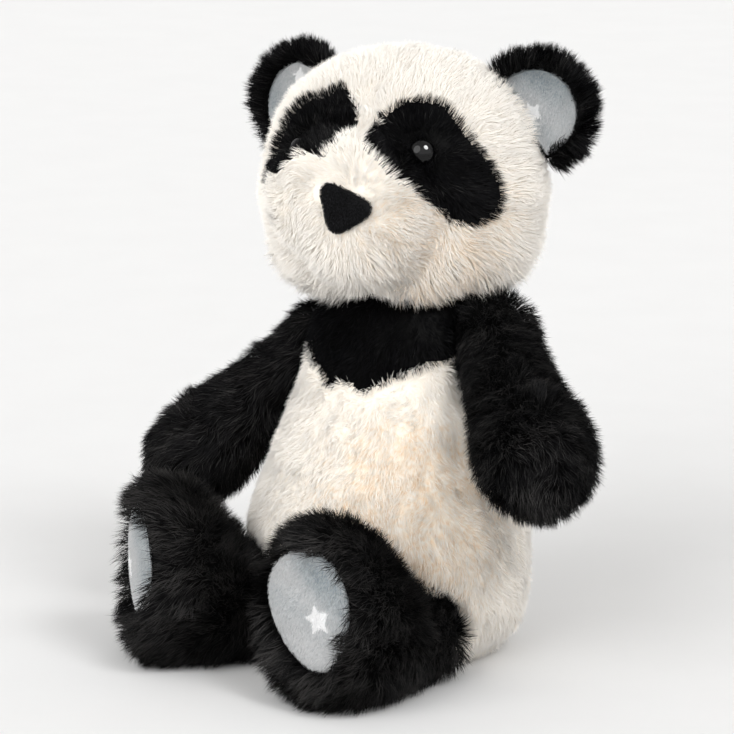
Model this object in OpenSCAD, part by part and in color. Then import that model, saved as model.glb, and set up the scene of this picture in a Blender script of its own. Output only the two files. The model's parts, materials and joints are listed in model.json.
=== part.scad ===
// A plush panda that sits with its legs out: sewn fur panels over stuffing, safety eyes and velour soles.
// Millimetres, +Z up. It faces -Y, its own left is +X, and the origin is the middle of its flat seat.

/* [Torso] */
// half width of the torso at its widest
torso_half_w = 58; // [50:0.5:64]
// depth of the belly in front of the torso's middle
torso_front = 54; // [46:0.5:58]
// depth of the back behind the torso's middle
torso_back = 47; // [40:0.5:54]
// height of the widest level
torso_widest_z = 44; // [34:1:54]
// radius of the flat seat panel
seat_r = 40; // [30:0.5:44]
// height of the yoke's lower edge at the sides and back
yoke_z = 131; // [126:0.5:136]
// how far the yoke's point hangs below that edge at the front
yoke_point = 6; // [0:0.5:12]
// half width of the part of that edge that hangs
yoke_half_w = 26; // [16:0.5:32]
// where the belly panel meets the back panel, behind the middle
side_seam_y = 6; // [-10:1:15]

/* [Neck] */
// height of the point that the head turns about
neck_z = 125; // [120:0.5:130]
// radius of the torso's round top, on which the head sits
neck_r = 40; // [36:0.5:42]
// how far the neck leans back from the seat's middle
lean = 10; // [0:1:16]
// radius of the hole that the stuffing passes through
neck_hole_r = 13; // [8:0.5:18]

/* [Head] */
// height of the head's middle above the neck's turning point
head_rise = 80; // [77:0.5:88]
// turn of the head to its left
head_turn = 9; // [-15:1:15]
// lean of the neck to its right
head_tilt = 4; // [-8:1:8]
// tilt of the head back to its left, about its own middle
head_roll = 1; // [-8:1:8]
// how far the head's middle lies behind the neck
head_set_back = 7; // [0:0.5:10]
// half width of the head at the cheeks
head_half_w = 58; // [50:0.5:64]
// half height of the head
head_half_h = 48; // [42:0.5:54]
// fullness of the lower cheeks, where a smaller number is fuller
cheek_power = 0.38; // [0.3:0.01:0.8]
// fullness of the crown, where a smaller number is fuller
crown_power = 0.9; // [0.6:0.01:1]
// depth of the face in front of the head's middle
head_front = 47; // [40:0.5:54]
// depth of the back of the head
head_back = 48; // [40:0.5:54]
// half width of the muzzle
muzzle_half_w = 29.5; // [24:0.5:44]
// half height of the muzzle
muzzle_half_h = 28; // [24:0.5:38]
// how far the muzzle's tip stands in front of the head's middle
muzzle_reach = 63; // [56:0.5:68]
// bluntness of the muzzle's front, where a smaller number is blunter
muzzle_power = 0.32; // [0.3:0.01:0.9]
// how far the muzzle's middle lies below the head's middle
muzzle_drop = 9; // [6:0.5:18]
// radius of the round seam of the muzzle panel
muzzle_seam_r = 33; // [22:0.5:34]
// half width of the strip over the crown
gusset_half_w = 14.9; // [8:0.1:20]

/* [Eyes and nose] */
// distance of each eye from the middle of the face
eye_x = 27; // [20:0.5:32]
// height of the eyes above the head's middle
eye_z = 12; // [4:0.5:18]
// angle that the eyes look up
eye_lean = 8; // [0:1:20]
// radius of the plastic eye
eye_r = 5.4; // [4:0.1:7]
// how far the eye stands out of the fabric
eye_h = 4.4; // [3:0.1:6]
// radius of the eye's stem
stem_r = 1.8; // [1.2:0.1:2.4]
// length of the stem behind the fabric
stem_l = 11; // [8:0.5:14]
// outer radius of the locking washer
washer_r = 6.5; // [5:0.1:8]
// thickness of the locking washer
washer_t = 1.6; // [1:0.1:2.5]
// radius of the eye patch round the eye
patch_r = 18.1; // [12:0.1:19]
// how far the patch runs out and down from the eye
patch_run = 23; // [8:0.5:26]
// half width of the nose
nose_half_w = 11.5; // [9:0.5:15]
// how far the nose lies below the middle of the muzzle
nose_drop = 10; // [0:0.5:12]
// height of the nose
nose_h = 18; // [14:0.5:22]
// angle that the nose looks up
nose_lean = 10; // [0:1:20]
// turn of the nose in its own plane, as it is sewn on
nose_turn = 12; // [0:1:20]
// how far the nose pad stands out of the muzzle
nose_out = 5; // [2:0.5:6]

/* [Ears] */
// radius of an ear
ear_r = 20; // [16:0.5:23]
// how far an ear stands out of the head
ear_reach = 26; // [20:0.5:32]
// thickness of the ear's furry back
ear_t = 4; // [3:0.5:6]
// thickness of the ear's velour lining
lining_t = 1.8; // [1:0.1:3]
// width of the furry border round the lining
ear_border = 1; // [0.5:0.5:7]
// radius of the rolled root of the ear
ear_root_r = 3.6; // [3:0.1:5]
// height of the ear's root above the head's middle
ear_z = 21; // [16:0.5:28]
// how far the ear's root lies behind the head's middle
ear_set_back = 12; // [0:0.5:16]
// angle that an ear stands up from level
ear_up = 34; // [20:1:50]
// angle that an ear is swept back
ear_sweep = 8; // [0:1:20]

/* [Arms] */
// distance of a shoulder from the middle
shoulder_x = 42; // [38:0.5:48]
// height of the left shoulder
shoulder_left_z = 138; // [132:0.5:142]
// height of the right shoulder, on the side that it slumps to
shoulder_right_z = 126; // [122:0.5:136]
// radius of the arm's round root
shoulder_r = 14.5; // [12:0.5:16]
// radius of the arm above the paw
wrist_r = 13; // [11:0.5:15]
// radius of the paw
paw_r = 20.5; // [17:0.5:24]
// length of the arm from the shoulder to its tip
arm_l = 99; // [88:1:112]
// angle of the left arm out from straight ahead
arm_left_out = 47; // [35:1:70]
// angle of the left arm below level
arm_left_down = 28; // [0:1:50]
// angle of the right arm out from straight ahead
arm_right_out = 62; // [35:1:75]
// angle of the right arm below level
arm_right_down = 43; // [0:1:55]

/* [Legs] */
// distance of a hip from the middle
hip_x = 33; // [30:0.5:38]
// distance of a hip in front of the middle
hip_y = 37; // [33:0.5:42]
// height of a hip
hip_z = 20; // [19:0.5:24]
// radius of the leg's round root
hip_r = 17; // [14:0.5:18]
// half width of the foot
foot_half_w = 27; // [22:0.5:30]
// half height of the foot
foot_half_h = 35; // [28:0.5:40]
// length of the leg from the hip to the sole
leg_l = 60; // [52:0.5:68]
// thickness of the velour sole
sole_t = 2; // [1:0.1:3]
// half width of the sole
sole_half_w = 22; // [17:0.5:24]
// half height of the sole
sole_half_h = 25; // [20:0.5:29]
// how far the sole lies above the middle of the foot
sole_up = 4; // [0:0.5:6]
// turn of the left leg out from straight ahead
leg_left_out = -10; // [-15:1:45]
// turn of the right leg out from straight ahead
leg_right_out = 43; // [-15:1:50]

/* [Fabric] */
// thickness of the fur fabric
cloth = 2.6; // [1.5:0.1:4]
// space between the fabric and the stuffing
fill_gap = 0.4; // [0.3:0.1:1]
// space that a gathered seam takes between two sewn pieces
seam_gap = 2.4; // [2:0.1:4]
// thickness of the sewing cord in the gathered seams
cord_d = 1.2; // [0.6:0.1:1.4]
// space between two panels along a seam
kerf = 0.3; // [0.2:0.1:0.6]
// half width of the bag of pellets in the seat
bag_half_w = 32; // [22:0.5:36]
// height of the bag of pellets
bag_h = 26; // [16:0.5:32]

/* [Travel] */
// how far a shoulder swings forward or back
arm_swing = 20; // [0:1:30]
// how far an arm is raised
arm_raise = 35; // [0:1:45]
// how far an arm is lowered
arm_lower = 8; // [0:1:12]
// how far a leg swings in or out
leg_swing = 12; // [0:1:20]
// how far a leg is lifted
leg_lift = 15; // [0:1:20]

/* [Hidden] */
big = 300;
fine = 22;
coarse = 14;
round_fn = 48;
// sides of the bowl under the head
bowl_fn = 38;
// how much larger a coarse ball is made so that its flats clear the radius
flats_out = 1.06;
neck = [0, lean, neck_z];
cream = [0.95, 0.92, 0.86];
black = [0.09, 0.09, 0.1];
grey = [0.68, 0.7, 0.71];
wadding = [0.97, 0.97, 0.96];

// the station of a list of stations that the place s falls after
function after(list, s, i = 0) = i >= len(list) - 2 || s < list[i + 1][0] ? i : after(list, s, i + 1);

// a smooth row of values at the place s of a list of stations, each with its place first
function flow(list, s) =
    let (
        i = after(list, s),
        a = list[i],
        b = list[i + 1],
        before = list[max(i - 1, 0)],
        behind = list[min(i + 2, len(list) - 1)],
        step = b[0] - a[0],
        t = (s - a[0]) / step,
        go_a = (b - before) * step / (b[0] - before[0]),
        go_b = (behind - a) * step / (behind[0] - a[0])
    )
    a * (1 + 2 * t) * (1 - t) * (1 - t) + go_a * t * (1 - t) * (1 - t)
    + b * t * t * (3 - 2 * t) - go_b * t * t * (1 - t);

// a level ring: half width, depth in front, depth behind, middle y and height
function ring(half_w, front, back, mid_y, z, sides) = [
    for (k = [0 : sides - 1])
        let (angle = 360 * (k + 0.5) / sides)
        [half_w * cos(angle), mid_y + (sin(angle) < 0 ? front : back) * sin(angle), z]
];

// the solid between two rings
module span(low, high) {
    points = concat(low, high);
    hull() polyhedron(points = points, faces = [[for (i = [0 : len(points) - 1]) i]]);
}

module loft(rings) {
    for (i = [0 : len(rings) - 2]) span(rings[i], rings[i + 1]);
}

// an egg of the given half width, depths and half height; a smaller power makes its low or high end fuller
module egg(half_w, front, back, half_h, low_power, high_power, sides, turns) {
    loft([
        for (i = [0 : turns])
            let (
                polar = 6 + 168 * i / turns,
                swell = pow(sin(polar), polar < 90 ? low_power : high_power)
            )
            ring(half_w * swell, front * swell, back * swell, 0, -half_h * cos(polar), sides)
    ]);
}

torso_levels = [
    [0, seat_r + 3, seat_r - 2, seat_r + 1, 0],
    [0.36 * torso_widest_z, 0.95 * torso_half_w, 0.93 * torso_front, 0.96 * torso_back, 0],
    [torso_widest_z, torso_half_w, torso_front, torso_back, 0],
    [
        (torso_widest_z + neck_z) / 2,
        0.46 * torso_half_w + 0.6 * neck_r,
        0.46 * torso_front + 0.57 * neck_r,
        0.46 * torso_back + 0.57 * neck_r,
        0.4 * lean
    ],
    [neck_z, neck_r, neck_r, neck_r, lean]
];
torso_top = neck_z + neck_r;

// the torso's form, smaller by inset all round
module torso(inset, sides, steps) {
    squeeze = (torso_top - 2 * inset) / torso_top;
    loft(concat(
        [
            for (i = [0 : steps])
                let (level = flow(torso_levels, neck_z * i / steps))
                ring(
                    level[1] - inset, level[2] - inset, level[3] - inset, level[4],
                    inset + level[0] * squeeze, sides
                )
        ],
        [
            for (polar = [18 : 18 : 72])
                let (r = (neck_r - inset) * cos(polar))
                ring(r, r, r, lean, inset + (neck_z + neck_r * sin(polar)) * squeeze, sides)
        ],
        [ring(3, 3, 3, lean, torso_top - inset, sides)]
    ));
}

arm_stations = [
    [0, shoulder_r, shoulder_r, 0],
    [0.22 * arm_l, wrist_r, wrist_r, 0],
    [0.5 * arm_l, 0.6 * wrist_r + 0.4 * paw_r, 0.6 * wrist_r + 0.4 * paw_r, 0],
    [0.78 * arm_l, paw_r, 0.94 * paw_r, 0],
    [0.92 * arm_l, 0.78 * paw_r, 0.74 * paw_r, 0],
    [arm_l, 0.3 * paw_r, 0.3 * paw_r, 0]
];
foot_up = foot_half_h - hip_z + 2.5;
leg_stations = [
    [0, hip_r, hip_r, 0],
    [0.25 * leg_l, 1.04 * hip_r, 1.04 * hip_r, 0.02 * foot_up],
    [0.48 * leg_l, 0.5 * (hip_r + foot_half_w) + 1, 0.5 * (hip_r + foot_half_h) - 1, 0.42 * foot_up],
    [0.72 * leg_l, foot_half_w, 0.97 * foot_half_h, 0.94 * foot_up],
    [0.9 * leg_l, 0.98 * foot_half_w, foot_half_h, foot_up],
    [leg_l, 0.86 * foot_half_w, 0.88 * foot_half_h, foot_up]
];

// an arm or a leg along +Z with its round root at the origin and its upper side towards +Y
module limb(stations, inset, sides, steps) {
    root_r = stations[0][1] - inset;
    tip = stations[len(stations) - 1][0];
    loft(concat(
        [
            for (polar = [8, 30, 52, 72])
                let (r = root_r * sin(polar))
                ring(r, r, r, 0, -root_r * cos(polar), sides)
        ],
        [
            for (i = [0 : steps])
                let (place = flow(stations, min(tip, tip - inset) * i / steps))
                ring(place[1] - inset, place[2] - inset, place[2] - inset, place[3], place[0], sides)
        ]
    ));
}

// puts a limb at a joint, turned out from straight ahead and down from level
// side is 1 for its left and -1 for its right
module at_joint(point, side, out, down) {
    translate([side * point[0], point[1], point[2]]) rotate([90 + down, 0, side * out]) children();
}

hip = [hip_x, -hip_y, hip_z];
function shoulder(side) = [shoulder_x, lean, side > 0 ? shoulder_left_z : shoulder_right_z];
function arm_out(side) = side > 0 ? arm_left_out : arm_right_out;
function arm_down(side) = side > 0 ? arm_left_down : arm_right_down;
function leg_out(side) = side > 0 ? leg_left_out : leg_right_out;

module at_shoulder(side, swing = 0, raise = 0) {
    at_joint(shoulder(side), side, arm_out(side) + swing, arm_down(side) - raise) children();
}

module at_hip(side, swing = 0, lift = 0) {
    at_joint(hip, side, leg_out(side) + swing, -lift) children();
}

module arm(side, inset, sides, steps) {
    at_shoulder(side) limb(arm_stations, inset, sides, steps);
}

module leg(side, inset, sides, steps) {
    at_hip(side) limb(leg_stations, inset, sides, steps);
}

// the room that the four limbs sweep at the torso, with gap round them
module limb_room(gap) {
    for (side = [-1, 1]) {
        hull() {
            at_shoulder(side) sphere(r = flats_out * (shoulder_r + gap), $fn = coarse);
            for (swing = [-arm_swing, arm_swing])
                for (raise = [-arm_lower, arm_raise])
                    at_shoulder(side, swing, raise) translate([0, 0, 0.55 * arm_l])
                        sphere(r = (wrist_r + paw_r) / 2 + gap, $fn = 8);
        }
        hull() {
            at_hip(side) sphere(r = flats_out * (hip_r + gap), $fn = coarse);
            for (swing = [-leg_swing, leg_swing])
                for (lift = [0, leg_lift])
                    at_hip(side, swing, lift) translate([0, 0.42 * foot_up, 0.48 * leg_l])
                        sphere(r = (hip_r + foot_half_h) / 2 + gap, $fn = 8);
        }
    }
}

// the sewn skin of the torso before it is cut into panels
module torso_skin() {
    difference() {
        torso(0, fine, 9);
        torso(cloth, coarse, 5);
        limb_room(seam_gap);
        translate([0, 0, -1]) cylinder(r = seat_r + kerf, h = cloth + kerf + 1, $fn = round_fn);
        translate([0, lean, neck_z]) cylinder(r = neck_hole_r, h = big, $fn = coarse);
    }
}

// everything above the yoke's edge, which hangs to a point at the front
module above_yoke(grow) {
    edge = yoke_z - grow;
    rotate([90, 0, 0]) linear_extrude(height = big)
        polygon([
            [-big, edge], [-yoke_half_w, edge], [0, edge - yoke_point], [yoke_half_w, edge],
            [big, edge], [big, big], [-big, big]
        ]);
    translate([-big, -0.01, edge]) cube([2 * big, big, big]);
}

module chest_yoke() {
    color(black) intersection() {
        torso_skin();
        above_yoke(0);
    }
}

module belly_panel() {
    color(cream) difference() {
        torso_skin();
        above_yoke(kerf);
        translate([-big, side_seam_y, -big]) cube(2 * big);
    }
}

module back_panel() {
    color(cream) difference() {
        torso_skin();
        above_yoke(kerf);
        translate([-big, side_seam_y + kerf - 2 * big, -big]) cube(2 * big);
    }
}

module seat_panel() {
    color(cream) cylinder(r = seat_r, h = cloth, $fn = round_fn);
}

module bag_form(grow) {
    translate([0, 0, cloth + fill_gap + bag_h / 2])
        egg(
            bag_half_w + grow, 0.9 * bag_half_w + grow, 0.9 * bag_half_w + grow,
            bag_h / 2 + grow, 0.7, 0.92, coarse, 6
        );
}

module pellet_bag() {
    color(wadding) bag_form(0);
}

module body_filling() {
    color(wadding) difference() {
        torso(cloth + fill_gap, coarse, 5);
        limb_room(seam_gap + fill_gap);
        bag_form(fill_gap);
        cylinder(r = 0.7 * bag_half_w, h = cloth + bag_h / 2, $fn = coarse);
    }
}

// a ring of gathered sewing cord on a ball of radius r, at the given angle from +Z
module gathered_seam(r, angle) {
    translate([0, 0, r * cos(angle)]) rotate_extrude($fn = round_fn)
        translate([r * sin(angle), 0]) circle(d = cord_d, $fn = coarse);
}

module neck_seam() {
    color(black) translate(neck) gathered_seam(neck_r + seam_gap / 2, 32);
}

module shoulder_seam(side) {
    color(black) at_shoulder(side)
        rotate([180, 0, 0]) gathered_seam(shoulder_r + seam_gap / 2, 42);
}

module hip_seam(side) {
    color(black) at_hip(side)
        rotate([180, 0, 0]) gathered_seam(hip_r + seam_gap / 2, 48);
}

// the head's form about its middle, smaller by inset all round
module head(inset, sides, turns) {
    egg(
        head_half_w - inset, head_front - inset, head_back - inset, head_half_h - inset,
        cheek_power, crown_power, sides, turns
    );
    translate([0, -muzzle_reach / 2, -muzzle_drop]) rotate([90, 0, 0])
        egg(
            muzzle_half_w - inset, muzzle_half_h - inset, muzzle_half_h - inset,
            muzzle_reach / 2 - inset, 0.8, muzzle_power, sides, 9
        );
}

// puts something at the head's middle, leaning and turned about the neck
module at_head() {
    translate(neck) rotate([0, -head_tilt, head_turn]) translate([0, head_set_back, head_rise])
        rotate([0, head_roll, 0]) children();
}

// puts something at the neck's turning point, from the head's middle
module from_head_to_neck() {
    rotate([0, -head_roll, 0]) translate([0, -head_set_back, -head_rise]) children();
}

// how much the head's ring at height z above its middle is narrowed
function head_swell(z) = pow(sqrt(1 - pow(z / head_half_h, 2)), z < 0 ? cheek_power : crown_power);

// the face's depth in front of the head's middle at the place x, z
function face_y(x, z) = -head_front * sqrt(pow(head_swell(z), 2) - pow(x / head_half_w, 2));

// how far the face turns away sideways at the place x, z
function face_turn(x, z) = atan2(x / pow(head_half_w, 2), -face_y(x, z) / pow(head_front, 2));

// puts something at an eye, with +Z out of the face and +Y up
module at_eye(side) {
    translate([side * eye_x, face_y(eye_x, eye_z), eye_z])
        rotate([0, 0, side * face_turn(eye_x, eye_z)]) rotate([90 - eye_lean, 0, 0]) children();
}

// where the ear's root lies on the side of the head
ear_x = head_half_w * sqrt(pow(head_swell(ear_z), 2) - pow(ear_set_back / head_back, 2));

// puts something at an ear's root, with +X out of the head, +Y along the fold and +Z to the ear's front
module at_ear(side) {
    translate([side * ear_x, ear_set_back, ear_z]) mirror([side > 0 ? 0 : 1, 0, 0])
        rotate([0, -ear_up, 0]) rotate([90, 0, 0]) rotate([0, ear_sweep, 0]) children();
}

module ear_room(gap) {
    for (side = [-1, 1]) at_ear(side) rotate([90, 0, 0])
        cylinder(r = ear_root_r + gap, h = 1.6 * ear_r + 2 * gap, center = true, $fn = coarse);
}

// the sewn skin of the head before it is cut into panels
module head_skin() {
    difference() {
        head(0, fine, 12);
        head(cloth, coarse, 7);
        from_head_to_neck() sphere(r = neck_r + seam_gap, $fn = bowl_fn);
        ear_room(kerf + 0.5);
        for (side = [-1, 1]) at_eye(side)
            cylinder(r = stem_r + kerf, h = 3 * stem_l, center = true, $fn = 12);
    }
}

// the round front of the face, with the strip of the chin down to the neck
module muzzle_zone(grow) {
    chin_half_w = gusset_half_w + grow;
    translate([0, -head_front / 2, -muzzle_drop]) rotate([90, 0, 0])
        cylinder(r = muzzle_seam_r + grow, h = big, $fn = fine);
    translate([-chin_half_w, grow - big, -muzzle_drop - big]) cube([2 * chin_half_w, big, big]);
}

// a drop shape round the eye that runs out and down
module patch_zone(side, grow) {
    depth = 0.64 * head_front;
    at_eye(side) translate([0, 0, -depth]) linear_extrude(height = 2 * depth) hull() {
        translate([-0.1 * side * patch_r, 0.2 * patch_r]) circle(r = patch_r + grow, $fn = fine);
        translate([side * 0.62 * patch_run, -0.7 * patch_run]) circle(r = 0.6 * patch_r + grow, $fn = fine);
    }
}

module muzzle_panel() {
    color(cream) at_head() difference() {
        intersection() {
            head_skin();
            muzzle_zone(0);
        }
        for (side = [-1, 1]) patch_zone(side, kerf);
    }
}

module head_gusset() {
    color(cream) at_head() difference() {
        intersection() {
            head_skin();
            cube([2 * gusset_half_w, big, big], center = true);
        }
        muzzle_zone(kerf);
        for (side = [-1, 1]) patch_zone(side, kerf);
    }
}

module head_side(side) {
    color(cream) at_head() difference() {
        intersection() {
            head_skin();
            translate([side * (gusset_half_w + kerf + big / 2), 0, 0]) cube(big, center = true);
        }
        muzzle_zone(kerf);
        patch_zone(side, kerf);
    }
}

module eye_patch(side) {
    color(black) at_head() intersection() {
        head_skin();
        patch_zone(side, 0);
    }
}

module eye(side) {
    ball_r = (eye_r * eye_r + eye_h * eye_h) / (2 * eye_h);
    color([0.02, 0.02, 0.02]) at_head() at_eye(side) {
        translate([0, 0, 0.8]) intersection() {
            translate([0, 0, eye_h - ball_r]) sphere(r = ball_r, $fn = round_fn);
            cylinder(r = eye_r + 1, h = eye_h + 1, $fn = round_fn);
        }
        translate([0, 0, -stem_l]) cylinder(r = stem_r, h = stem_l + 1, $fn = round_fn);
    }
}

module eye_washer(side) {
    color([0.9, 0.9, 0.88]) at_head() at_eye(side) translate([0, 0, -cloth - 3.2 - washer_t]) difference() {
        cylinder(r = washer_r, h = washer_t, $fn = round_fn);
        translate([0, 0, -1]) cylinder(r = stem_r + 0.05, h = washer_t + 2, $fn = round_fn);
    }
}

module nose() {
    corner = 0.36 * nose_half_w;
    color([0.05, 0.05, 0.05]) at_head() difference() {
        translate([0, 0, -muzzle_drop - nose_drop])
            rotate([90 - nose_lean, 0, 0]) rotate([0, 0, -nose_turn]) hull() {
            for (side = [-1, 1]) {
                translate([side * (nose_half_w - corner), nose_h / 2 - corner, 0])
                    cylinder(r = corner, h = muzzle_reach + nose_out - 1, $fn = coarse);
                translate([side * (nose_half_w - corner - 1), nose_h / 2 - corner - 1, 0])
                    cylinder(r = corner - 1, h = muzzle_reach + nose_out, $fn = coarse);
            }
            translate([0, corner - nose_h / 2, 0])
                cylinder(r = corner, h = muzzle_reach + nose_out - 1, $fn = coarse);
        }
        head(-0.1, fine, 12);
    }
}

module head_filling() {
    color(wadding) at_head() difference() {
        head(cloth + fill_gap, coarse, 7);
        from_head_to_neck() sphere(r = neck_r + seam_gap + fill_gap, $fn = 22);
        ear_room(1.5);
        for (side = [-1, 1]) at_eye(side)
            translate([0, 0, -stem_l - 1]) cylinder(r = washer_r + 1, h = stem_l + 20, $fn = coarse);
    }
}

module ear_outline(r) {
    translate([ear_reach - ear_r, 0]) circle(r = r, $fn = round_fn);
}

module ear_back(side) {
    color(black) at_head() at_ear(side) {
        translate([0, 0, -ear_t]) linear_extrude(height = ear_t) intersection() {
            ear_outline(ear_r);
            translate([0, -big]) square(2 * big);
        }
        rotate([90, 0, 0]) cylinder(r = ear_root_r, h = 1.6 * ear_r, center = true, $fn = round_fn);
    }
}

module ear_lining(side) {
    color(grey) at_head() at_ear(side) translate([0, 0, 0.05])
        linear_extrude(height = lining_t) intersection() {
            ear_outline(ear_r - ear_border);
            translate([ear_root_r + 0.4, -big]) square(2 * big);
        }
}

module arm_cover(side) {
    color(black) difference() {
        arm(side, 0, 16, 8);
        arm(side, cloth, 10, 5);
        at_shoulder(side)
            translate([0, 0, -2 * shoulder_r])
                cylinder(r = 0.3 * shoulder_r, h = 2 * shoulder_r, $fn = coarse);
    }
}

module arm_filling(side) {
    color(wadding) arm(side, cloth + fill_gap, 10, 5);
}

module leg_cover(side) {
    color(black) difference() {
        leg(side, 0, 16, 8);
        leg(side, cloth, 10, 8);
        at_hip(side)
            translate([0, 0, -2 * hip_r]) cylinder(r = 0.3 * hip_r, h = 2 * hip_r, $fn = coarse);
    }
}

module leg_filling(side) {
    color(wadding) leg(side, cloth + fill_gap, 10, 8);
}

// the sole is an oval that is wider at the toes
module sole_pad(side) {
    color(grey) at_hip(side) translate([0, foot_up + sole_up, leg_l + 0.05]) linear_extrude(height = sole_t)
        polygon([
            for (k = [0 : 31])
                let (angle = 360 * k / 32)
                [sole_half_w * cos(angle) * (1 + 0.14 * sin(angle)), sole_half_h * sin(angle)]
        ]);
}

chest_yoke();
belly_panel();
back_panel();
seat_panel();
body_filling();
pellet_bag();
neck_seam();
muzzle_panel();
head_gusset();
head_side(1);  // head_side_left
head_side(-1);  // head_side_right
eye_patch(1);  // eye_patch_left
eye_patch(-1);  // eye_patch_right
nose();
eye(1);  // eye_left
eye(-1);  // eye_right
eye_washer(1);  // eye_washer_left
eye_washer(-1);  // eye_washer_right
head_filling();
ear_back(1);  // ear_back_left
ear_back(-1);  // ear_back_right
ear_lining(1);  // ear_lining_left
ear_lining(-1);  // ear_lining_right
arm_cover(1);  // arm_cover_left
arm_cover(-1);  // arm_cover_right
arm_filling(1);  // arm_filling_left
arm_filling(-1);  // arm_filling_right
shoulder_seam(1);  // shoulder_seam_left
shoulder_seam(-1);  // shoulder_seam_right
leg_cover(1);  // leg_cover_left
leg_cover(-1);  // leg_cover_right
sole_pad(1);  // sole_pad_left
sole_pad(-1);  // sole_pad_right
leg_filling(1);  // leg_filling_left
leg_filling(-1);  // leg_filling_right
hip_seam(1);  // hip_seam_left
hip_seam(-1);  // hip_seam_right
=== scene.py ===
# %% [markdown]
# # A sitting plush panda
# The toy is sewn from long-pile fur fabric over soft stuffing, with velour soles and ear linings,
# two plastic safety eyes and a fleece nose. The solids of the frame give its build, its joints and its
# size. This lesson dresses them: every panel becomes a cloth skin with real modelled fibres standing on it.

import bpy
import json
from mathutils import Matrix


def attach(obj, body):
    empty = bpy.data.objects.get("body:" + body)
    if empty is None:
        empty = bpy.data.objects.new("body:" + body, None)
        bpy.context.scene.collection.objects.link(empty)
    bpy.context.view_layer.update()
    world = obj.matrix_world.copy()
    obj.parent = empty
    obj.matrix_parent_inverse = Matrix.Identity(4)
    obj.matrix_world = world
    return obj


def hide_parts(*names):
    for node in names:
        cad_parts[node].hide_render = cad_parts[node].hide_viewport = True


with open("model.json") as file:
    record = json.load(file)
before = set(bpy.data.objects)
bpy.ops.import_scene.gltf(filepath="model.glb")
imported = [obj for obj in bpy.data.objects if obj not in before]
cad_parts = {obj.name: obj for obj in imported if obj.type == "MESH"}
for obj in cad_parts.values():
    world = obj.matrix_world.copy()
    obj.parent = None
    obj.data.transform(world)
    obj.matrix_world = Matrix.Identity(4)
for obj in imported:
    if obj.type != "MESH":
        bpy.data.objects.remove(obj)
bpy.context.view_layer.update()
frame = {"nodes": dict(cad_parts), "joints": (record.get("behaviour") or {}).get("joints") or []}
nodes = frame["nodes"]

# %% [markdown]
# ## Tools and units
# Blender counts in metres, while a sewing pattern counts in millimetres, so sizes are written as a number
# times MM. Bulges, seams and the lie of the pile come and go softly over the surface. Two small rules do
# that everywhere: a smooth step between two values, and a bell round a place.

# %% Tools and units
import json
import math

import bmesh
import bpy
import numpy as np
from mathutils import Vector
from mathutils.bvhtree import BVHTree
from mathutils.kdtree import KDTree

MM = 0.001
scene = bpy.context.scene
joints = {joint["name"]: joint for joint in frame["joints"]}
SIDES = ("left", "right")
UP, DOWN = np.array([0, 0, 1.0]), np.array([0, 0, -1.0])


def span(low, high):
    """A range that is given in millimetres."""
    return low * MM, high * MM


def ease(values, low, high):
    """0 below low, 1 above high and a smooth step between."""
    t = np.clip((values - low) / (high - low), 0, 1)
    return t * t * (3 - 2 * t)


def bell(values, half):
    """1 where the values are 0, falling to about a third at half on both sides."""
    return np.exp(-(values / half) ** 2)


print("joints:", ", ".join(sorted(joints)))

# %% [markdown]
# ## Camera
# The photograph looks a little down on the toy, from its left of straight ahead, through a long lens.
# A camera can be dragged into place, but a turn, a rise and a distance say the same thing in numbers that
# can be read. The small shift puts the toy as far off the middle of the frame as it is in the photograph.

# %% Camera
VIEW_TURN, VIEW_RISE, VIEW_REACH = 33, 13, 1500 * MM
FRAME_PIXELS, PIXEL = 734, 0.4235 * MM
AIM = Vector((0, 0, 130 * MM))
AIM_SPOT = (395, 345.5)


def heading(turn, rise):
    """The direction at a turn to the toy's left of straight ahead and a rise above level."""
    turn, rise = math.radians(turn), math.radians(rise)
    return Vector((math.sin(turn) * math.cos(rise), -math.cos(turn) * math.cos(rise), math.sin(rise)))


camera = bpy.data.objects.new("camera", bpy.data.cameras.new("camera"))
scene.collection.objects.link(camera)
camera.location = AIM + heading(VIEW_TURN, VIEW_RISE) * VIEW_REACH
camera.rotation_euler = heading(VIEW_TURN, VIEW_RISE).to_track_quat("Z", "Y").to_euler()
camera.data.lens = camera.data.sensor_width * VIEW_REACH / (FRAME_PIXELS * PIXEL)
camera.data.shift_x = 0.5 - AIM_SPOT[0] / FRAME_PIXELS
camera.data.shift_y = AIM_SPOT[1] / FRAME_PIXELS - 0.5
scene.camera = camera
print("camera: lens", round(camera.data.lens, 1), "mm")

# %% [markdown]
# ## Floor and light
# A product photograph is taken on a pale sweep under large soft boxes. A few lamps could be placed close
# by, but a wide sun lights floor and toy evenly wherever they stand, so the floor stays one pale tone and
# runs into the background. The glint in the eyes comes from a catch light of its own, which only shows in
# reflections. The sky fills the shadows, and what the camera and the polished eyes see of it is the pale
# backdrop.

# %% Lamps
# Each lamp's turn from the view and its rise in degrees, its power, and its width in degrees.
LAMPS = {
    "key_light": (-40, 28, 1.95, 50),
    "fill_light": (26, 0, 1.05, 90),
    "top_light": (42, 48, 0.95, 20),
    "glint_light": (36, 40, 7, 28),
}


def sun(name, turn, rise, power, spread):
    """A wide soft lamp that shines from the given direction."""
    lamp = bpy.data.objects.new(name, bpy.data.lights.new(name, "SUN"))
    lamp.data.energy = power
    lamp.data.angle = math.radians(spread)
    lamp.rotation_euler = heading(turn, rise).to_track_quat("Z", "Y").to_euler()
    scene.collection.objects.link(lamp)
    return lamp


for name, (turn, rise, power, spread) in LAMPS.items():
    lamp = sun(name, VIEW_TURN + turn, rise, power, spread)
    lamp.visible_diffuse = name != "glint_light"
print("lamps:", ", ".join(LAMPS))

# %% Sky and backdrop
SKY_POWER, SKY_TINT = 0.63, (1, 0.99, 0.975, 1)
BACKDROP_POWER, BACKDROP_TINT = 0.93, (1, 1, 1, 1)


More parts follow.
